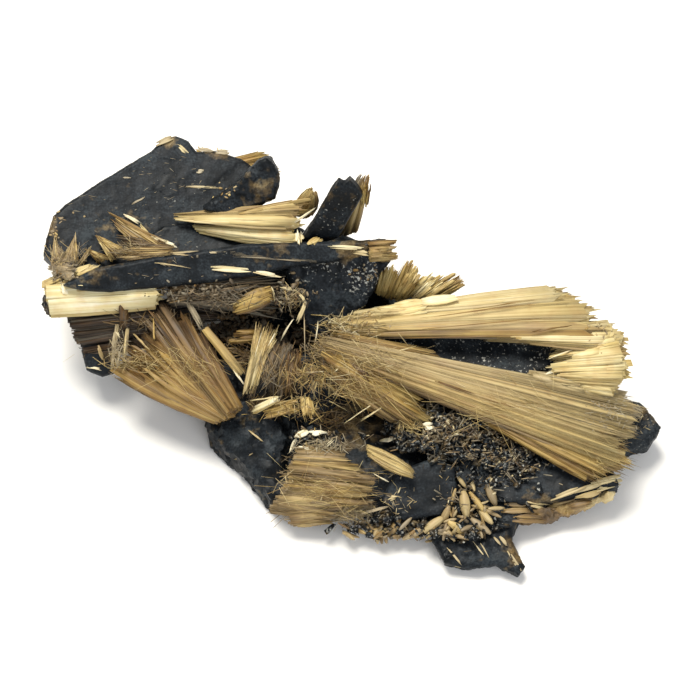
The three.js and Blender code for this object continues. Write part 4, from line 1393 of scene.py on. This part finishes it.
lowerSlab = {
    "piece": "lowerSlab", "seed": 35, "split": 2, "sheets": [
        sheet(slabSilk, ((18, 66, 84), (12, 37, 38)), ((101, 46, 84), (85, 24, 53)), (1.6, 1.6),
              (0.42, 0.56), (0.25, 0.15), broken=0.3, coats=(7, 3.1), stray=1.2, lathWidth=(0.2, 0.7)),
        sheet(slabSilk, ((14, 48, 64), (0, 30, 24)), ((72, 35, 63), (57, 13, 30)), (1.3, 1.3), (0.38, 0.52),
              (0.35, 0.25), ragged=2.2, rootRagged=0.7, lathWidth=(0.2, 0.7), crown=0.3),
        sheet(slabSilk, ((6, 33, 36), (20, 14, 13)), ((59, 30, 52), (65, 12, 30)), (1.2, 1.2), (0.38, 0.52),
              (0.2, 0.2), ragged=2),
        sheet(slabSilk, ((22, 80, 97), (19, 58, 78)), ((65, 75, 93), (77, 52, 79)), (1, 1), (0.42, 0.58),
              (0.2, 0.15), stray=2, rootRagged=0.7, coats=(6, 3)),
        sheet(hairs, ((51, 28, 42), (51, 14, 23)), ((89, 28, 46), (80, 17, 34)), (0.7, 0.6), (0.25, 0.5),
              (0.3, 0.5)),
    ],
    "wisps": [
        tangle((19, 51, 70), (0.5, 1.6, 0.6), 40, (0.3, 0.6), (0.1, 0.5), along=(1, 0.1, 0), spread=0.5,
               length=(0.5, 1.8)),
        tangle((51, 37, 78), (3, 1.8, 0.5), 240, (0.4, 0.8), (0, 0.3), along=(1, -0.1, 0), spread=0.25,
               length=(0.8, 2.5), width=(0.03, 0.05)),
        tangle((32, 22, 26), (2.2, 0.4, 0.4), 70, (0.35, 0.6), (0.1, 0.4), along=(1, -0.1, 0), spread=0.4,
               length=(0.6, 1.8)),
        tangle((69, 20, 38), (1.6, 0.6, 0.6), 220, (0.1, 0.7), (0.2, 0.7), spread=0.8, length=(0.4, 1.5)),
        tangle((45, 81, 97), (2, 0.6, 0.4), 160, (0.1, 0.7), (0.4, 0.9), spread=0.8, length=(0.4, 1.4),
               along=(1, 0.5, 0)),
    ],
    "slivers": [
        ((45, 28, 71), (43, 22, 65), 0.2, 0.98, 0.2),
        ((85, 48, 90), (102, 38, 77), 0.14, 0.95, 0.5),
        ((19, 70, 97), (26, 118, 52), 0.6, 0.97, 0.2),
        ((22, 84, 106), (38, 96, 107), 0.9, 1, 0.1),
        ((32, 94, 107), (49, 92, 107), 0.6, 0.97, 0.1),
        ((25, 76, 101), (37, 72, 98), 0.4, 1, 0.2),
        ((29, 68, 96), (43, 65, 94), 0.4, 0.8, 0),
        ((45, 75, 100), (56, 90, 107), 0.25, 0.9, 0.6),
    ],
}
growSheaf(lowerSlab)

lozenge = {
    "piece": "lozenge", "seed": 36, "sheets": [
        sheet(silk, ((0, 98, 80), (3, 67, 57)), ((100, 22, 34), (94, -1, 19)), (0.7, 0.6), (0.6, 0.66),
              (0.15, 0.15), belly=0.6, cracks=0, uneven=0.02, point=0.4, ragged=0.5, lathWidth=(0.08, 0.26),
              coats=(9, 2.2)),
    ],
    "slivers": [((26, 193, -122), (64, 164, -19), 0.5, 0.98, 0.2)],
}
growSheaf(lozenge)
print("rutile sheaves are grown")

# Grains lie in a drift between the lower plate and the foot: middle, length and width in mm,
# degrees round and degrees up
grains = {
    "piece": "grains", "seed": 61, "shape": grainShape, "finish": rutile, "tone": (0.4, 0.66),
    "frost": (0.1, 0.5), "flat": (0.65, 0.9), "nodes": {
        "rutile_upper_grains": (
            ((36, 60, 50), 2.1, 1.0, -85, -12), ((62, 60, 55), 2.3, 0.55, -58, -8),
            ((86, 85, 60), 1.8, 0.8, -62, -10), ((14, 80, 60), 1.3, 0.35, -80, 0),
            ((50, 110, 80), 1.2, 0.4, -70, 5), ((30, 115, 85), 1.1, 0.4, -50, 10),
            ((5, 50, 40), 1.5, 0.3, -75, 0), ((75, 30, 30), 1.7, 0.7, -45, -8),
        ),
        "rutile_front_grains": (
            ((12, 75, 50), 1.9, 0.9, 40, 0), ((30, 110, 80), 1.6, 0.7, 25, 5),
            ((50, 55, 50), 2.0, 0.8, -35, 0), ((52, 25, 25), 1.9, 0.4, -20, 0),
            ((85, 70, 40), 1.9, 0.7, -38, -5), ((36, 35, 35), 1.4, 0.45, -55, -8),
        ),
        "rutile_left_grains": (
            ((14, 80, 50), 1.4, 0.6, 60, 0), ((42, 85, 60), 1.7, 0.75, 45, 0),
            ((78, 60, 50), 2.1, 0.6, 25, 4), ((10, 110, 70), 0.9, 0.4, 100, 20),
        ),
    },
}


def layGrains(look):
    rng = np.random.default_rng(look["seed"])
    rows = [(pointIn(node, row[0]), *row[1:]) for node, nodeRows in look["nodes"].items() for row in nodeRows]
    at, length, width, around, rise = (np.array(column) for column in zip(*rows))
    around, rise = np.radians(around), np.radians(rise)
    along = np.stack([np.cos(around) * np.cos(rise), np.sin(around) * np.cos(rise), np.sin(rise)], -1)
    normal = rng.normal(0, 0.35, along.shape) + (0, -0.3, 1)
    count = len(rows)
    sizes = (length * 0.92, width * 0.85, width * rng.uniform(*look["flat"], count))
    layBits(look, rng, at, along, normal, sizes, look["nodes"])


layGrains(grains)


def layLoose(look):
    finishPiece(joinStrands(look["piece"], [laySlivers({**loose, **look})]), rutile)


plateSlivers = {
    "piece": "plateSlivers", "node": "hematite_upper_plate", "seed": 41,
    "slivers": [
        ((63, 90, 97), (70, 82, 90), 0.4, 0.8, 0.5),
        ((53, 87, 97), (62, 93, 100), 0.6, 0.5, 0.6),
        ((67, 60, 75), (85, 61, 71), 0.2, 0.75, 0.6),
        ((72, 87, 90), (82, 86, 87), 0.5, 0.42, 0.7),
        ((81, 85, 89), (91, 86, 85), 0.45, 0.42, 0.7),
        ((42, 46, 68), (49, 52, 72), 0.2, 0.3, 0.7),
        ((73, 70, 80), (77, 71, 81), 0.3, 0.4, 0.9),
        ((37, 65, 83), (43, 65, 82), 0.16, 0.3, 0.8),
    ],
}
layLoose(plateSlivers)

ridgeSlivers = {
    "piece": "ridgeSlivers", "node": "hematite_ridge_blade", "seed": 42,
    "slivers": [
        ((46, 34, 73), (62, 30, 71), 0.5, 0.9, 0.3),
        ((61, 29, 69), (72, 26, 52), 0.45, 0.95, 0.2),
        ((86, 69, 97), (99, 57, 108), 0.3, 0.9, 0.4),
        ((94, 58, 92), (100, 47, 103), 0.5, 0.66, 0.5),
        ((29, 42, 80), (42, 33, 74), 0.14, 0.6, 0.5),
    ],
}
layLoose(ridgeSlivers)

blockSliver = {
    "piece": "blockSliver", "node": "hematite_left_block", "seed": 43,
    "slivers": [
        ((13, 15, 56), (61, 6, 56), 0.3, 0.95, 0.5),
        ((43, 38, 95), (58, 18, 66), 0.5, 0.5, 0.3),
    ],
}
layLoose(blockSliver)

lens = {
    "piece": "lens", "node": "rutile_leaf", "seed": 44,
    "slivers": [((70, -420, 64), (127, -300, 48), 0.8, 0.7, 0.1)],
}
layLoose(lens)

lowerPlateSlivers = {
    "piece": "lowerPlateSlivers", "node": "hematite_lower_plate", "seed": 45, "split": 3,
    "slivers": [
        ((-35, 18, 64), (-3, 33, 57), 0.3, 0.95, 0.4),
        ((-3, 33, 57), (23, 27, 77), 0.45, 0.75, 0.5),
        ((-26, 9, 53), (13, 16, 69), 0.3, 0.5, 0.6),
        ((23, 32, 78), (27, 44, 84), 0.15, 0.8, 0.5),
    ],
}
layLoose(lowerPlateSlivers)

lipSlivers = {
    "piece": "lipSlivers", "node": "rutile_lower_edge", "seed": 49, "split": 5,
    "slivers": [
        ((45, 52, 116), (77, 94, 144), 0.35, 0.7, 0.5),
        ((64, 76, 131), (98, 126, 139), 0.45, 0.75, 0.5),
        ((79, 94, 144), (109, 141, 128), 0.6, 0.78, 0.4),
        ((81, 87, 127), (108, 138, 106), 0.7, 0.8, 0.4),
        ((62, 61, 115), (91, 95, 121), 0.7, 0.62, 0.3),
        ((42, 58, 64), (71, 77, 89), 0.7, 0.5, 0.2),
        ((23, 42, 118), (45, 59, 70), 0.6, 0.7, 0.4),
        ((0, 16, 93), (31, 28, 80), 0.8, 0.42, 0.2),
        ((54, 40, 80), (86, 73, 95), 0.6, 0.4, 0.1),
        ((12, -6, 88), (41, 13, 48), 0.7, 0.38, 0.1),
    ],
}
layLoose(lipSlivers)

rightBladeSlivers = {
    "piece": "rightBladeSlivers", "node": "hematite_lower_right_blade", "seed": 46,
    "slivers": [
        ((88, 29, 80), (97, 33, 72), 0.2, 0.75, 0.5),
        ((22, 63, 92), (35, 71, 96), 0.25, 0.9, 0.3),
        ((41, 57, 90), (42, 71, 96), 0.12, 0.8, 0.5),
    ],
}
layLoose(rightBladeSlivers)

footNeedles = {
    "piece": "footNeedles", "node": "hematite_front_foot", "seed": 47, "split": 3,
    "slivers": [
        ((19, 33, 68), (37, 10, 44), 0.2, 0.7, 0.6),
        ((46, 40, 72), (66, 12, 46), 0.14, 0.75, 0.6),
        ((53, 39, 71), (64, 18, 59), 0.1, 0.7, 0.6),
        ((69, 47, 76), (81, 30, 66), 0.45, 0.62, 0.6),
        ((83, 28, 63), (96, 4, 38), 0.35, 0.6, 0.6),
        ((25, 15, 27), (35, 11, 31), 0.3, 0.7, 0.6),
    ],
}
layLoose(footNeedles)

baseNeedles = {
    "piece": "baseNeedles", "node": "hematite_base", "seed": 48,
    "slivers": [
        ((11, 21, 27), (16, 19, 63), 0.25, 0.5, 0.4),
        ((15, 27, 76), (19, 22, 76), 0.2, 0.6, 0.4),
        ((22, 17, 72), (26, 26, 58), 0.2, 0.4, 0.3),
    ],
}
layLoose(baseNeedles)

# what the heaps lie on
ground = [
    "base", "keelBlade", "frontFoot", "lowerRightBlade", "lowerPlate", "rubble", "lance", "centrePlate",
    "ridgeBlade", "lowerEdge", "lowerSlab", "ridgeCrust", "grains",
]
crumbs = {
    "on": ground, "pile": 0.4, "fall": (0, 0.57, -0.82), "shape": crumbShape, "finish": rutile,
    "length": (0.15, 0.6), "width": (0.08, 0.24), "flat": (0.25, 0.6), "lean": (0, 0, 0), "sink": 0.2,
    "tone": (0.2, 0.7), "frost": (0, 0.5),
}
splinters = {
    **crumbs, "shape": needleShape, "length": (0.25, 0.8), "width": (0.04, 0.09), "sink": 0.3,
}
chips = {
    **crumbs, "shape": chipShape, "finish": hematite,
    "length": (0.3, 0.8), "width": (0.2, 0.5), "flat": (0.3, 0.6), "tone": (0, 0), "frost": (0, 0),
}

plateCrumbs = {
    **crumbs, "piece": "plateCrumbs", "seed": 71, "on": ["upperPlate", "upperKnob", "stepPlate"],
    "spots": (
        ("hematite_upper_plate", (2, 36, 65), 1.6, 90),
        ("hematite_upper_plate", (58, 97, 100), 0.8, 14),
        ("hematite_upper_knob", (30, 30, 50), 1, 12),
    ),
}
strew(plateCrumbs)

plateDashes = {
    **splinters, "piece": "plateDashes", "seed": 77, "tone": (0.2, 0.4), "frost": (0.3, 0.8),
    "on": ["upperPlate", "stepPlate", "ridgeBlade"], "lean": (3, 0, 0), "width": (0.03, 0.06),
    "length": (0.15, 0.7), "spots": (
        ("hematite_upper_plate", (62, 62, 80), 3.5, 45),
        ("hematite_upper_plate", (25, 40, 60), 3, 15),
        ("hematite_ridge_blade", (35, 50, 90), 3.5, 25),
    ),
}
strew(plateDashes)

ridgeCrumbs = {
    **crumbs, "piece": "ridgeCrumbs", "seed": 72, "tone": (0.05, 0.45),
    "on": ["ridgeBlade", "centrePlate", "ridgeCrust", "keelBlade", "leftTuft", "leftNub"],
    "spots": (
        ("rutile_ridge_crust", (95, 20, 40), 1.4, 90), ("rutile_ridge_crust", (30, 10, 20), 3, 90),
        ("hematite_centre_plate", (78, 50, 75), 1, 20), ("rutile_left_tuft", (40, 20, 40), 1.2, 40),
        ("hematite_left_nub", (50, 50, 80), 0.8, 25),
    ),
}
strew(ridgeCrumbs)

fanCrumbs = {
    **crumbs, "piece": "fanCrumbs", "seed": 73, "tone": (0.35, 0.7), "width": (0.06, 0.16),
    "on": ["upperRightFan", "rightLobe", "lance", "greatFan", "frontBundle", "centreTangle", "lowerSlab"],
    "spots": (
        ("rutile_upper_right_fan", (8, 30, 70), 1.6, 60),
        ("rutile_upper_right_fan", (95, 30, 70), 1.4, 40),
        ("rutile_centre_tangle", (60, 30, 50), 2, 50), ("rutile_lower_slab", (30, 95, 90), 1.2, 40),
    ),
}
strew(fanCrumbs)

# a high glitter paints pale glints on the shards
shards = {
    **chips, "piece": "rubbleShards", "seed": 81, "paints": ("glitter", "stain"), "glitter": 0.9,
    "stain": 0.28, "pile": 0.3, "length": (0.25, 1.0), "width": (0.12, 0.55), "flat": (0.15, 0.5),
    "heaps": (
        ("hematite_rubble", (45, 55, 75), (3.6, 1.6, 0.7), 420),
        ("hematite_rubble", (100, 10, 60), (3.4, 2.2, 0.6), 240),
        ("hematite_lower_plate", (20, 5, 40), (2.2, 0.6, 0.4), 50),
        ("rutile_left_grains", (50, 90, 35), (3.4, 0.5, 0.4), 110),
        ("rutile_front_grains", (40, 70, 20), (2.6, 1.2, 0.4), 90),
        ("rutile_upper_grains", (40, 70, 10), (2.6, 2, 0.4), 110),
        ("rutile_lower_slab", (40, 98, 95), (1.8, 0.5, 0.4), 60),
    ),
}
heapUp(shards)

greySplinters = {
    **crumbs, "shape": lathShape, "piece": "greySplinters", "seed": 88, "length": (0.2, 1.0),
    "width": (0.04, 0.14), "flat": (0.2, 0.5), "tone": (0, 0.42), "frost": (0.05, 0.55), "heaps": (
        ("hematite_rubble", (45, 55, 90), (3.6, 1.6, 0.7), 400),
        ("hematite_rubble", (100, 10, 70), (3.4, 2.0, 0.4), 200),
        ("rutile_upper_grains", (30, 100, 60), (1.8, 1.6, 0.5), 90),
        ("rutile_left_grains", (50, 90, 40), (3.4, 0.5, 0.4), 80),
        ("rutile_lower_slab", (40, 98, 95), (1.8, 0.5, 0.4), 60),
    ),
}
heapUp(greySplinters)

looseGrains = {
    **crumbs, "shape": grainShape, "piece": "looseGrains", "seed": 87, "length": (0.7, 1.5),
    "width": (0.22, 0.42), "flat": (0.6, 0.9), "tone": (0.3, 0.6), "frost": (0.1, 0.5), "heaps": (
        ("rutile_upper_grains", (45, 60, 30), (2.0, 1.4, 0.4), 16),
        ("rutile_front_grains", (45, 60, 30), (3, 0.8, 0.4), 30),
        ("rutile_left_grains", (45, 80, 40), (3.2, 0.7, 0.5), 44),
    ),
}
heapUp(looseGrains)

glints = {
    **crumbs, "piece": "glints", "seed": 86, "length": (0.15, 0.45), "width": (0.08, 0.2),
    "flat": (0.2, 0.5), "tone": (0.7, 0.95), "frost": (0.4, 0.8), "heaps": (
        ("hematite_rubble", (45, 55, 110), (3.6, 1.6, 0.6), 70),
        ("hematite_rubble", (100, 10, 85), (3.4, 2.4, 0.5), 60),
    ),
}
heapUp(glints)

crustCrumbs = {
    **crumbs, "piece": "crustCrumbs", "seed": 85, "length": (0.15, 0.7), "width": (0.1, 0.35),
    "flat": (0.3, 0.8), "tone": (0, 0.32), "frost": (0.05, 0.4), "heaps": (
        ("rutile_ridge_crust", (25, 45, 60), (2.8, 0.6, 0.7), 380),
        ("rutile_ridge_crust", (92, 40, 50), (1.4, 0.7, 1), 200),
    ),
}
heapUp(crustCrumbs)

hollowDust = {
    **crumbs, "piece": "hollowDust", "seed": 84, "length": (0.3, 1.0), "width": (0.15, 0.5),
    "flat": (0.3, 0.8), "tone": (0, 0.3), "frost": (0, 0.3), "heaps": (
        ("hematite_base", (8, 73, 66), (2.2, 1.6, 0.7), 180),
        ("hematite_base", (14, 82, 62), (2.4, 1.6, 0.4), 160),
        ("hematite_base", (20, 70, 66), (3, 1.8, 0.9), 200),
        ("hematite_base", (32, 68, 66), (2.6, 1.8, 0.9), 120),
    ),
}
heapUp(hollowDust)

rubbleChips = {
    **chips, "piece": "rubbleChips", "seed": 74, "on": ["rubble", "lowerRightBlade", "lowerPlate", "base"],
    "spots": (
        ("hematite_rubble", (50, 50, 70), 2.4, 110),
        ("hematite_lower_right_blade", (15, 60, 80), 1.8, 50),
        ("rutile_lower_slab", (35, 100, 100), 1.2, 30),
    ),
}
strew(rubbleChips)

tipFuzz = {
    **splinters, "piece": "tipFuzz", "seed": 76, "tone": (0.25, 0.6), "frost": (0.5, 1),
    "on": ["rightTip", "greatFan"], "spots": (("hematite_right_tip", (35, 85, 90), 2.2, 160),),
}
strew(tipFuzz)

rubbleSplinters = {
    **splinters, "piece": "rubbleSplinters", "seed": 75, "tone": (0.2, 0.7), "frost": (0.2, 0.7),
    "on": ["rubble", "lowerRightBlade", "lowerPlate", "base", "rightTip", "lance"],
    "spots": (
        ("hematite_rubble", (50, 50, 70), 2.4, 110),
        ("hematite_lower_right_blade", (20, 60, 80), 2.4, 60),
        ("hematite_right_tip", (40, 90, 90), 2, 80), ("hematite_lower_plate", (20, 30, 60), 1.2, 40),
    ),
}
strew(rubbleSplinters)
print("grains, slivers and crumbs are strewn")
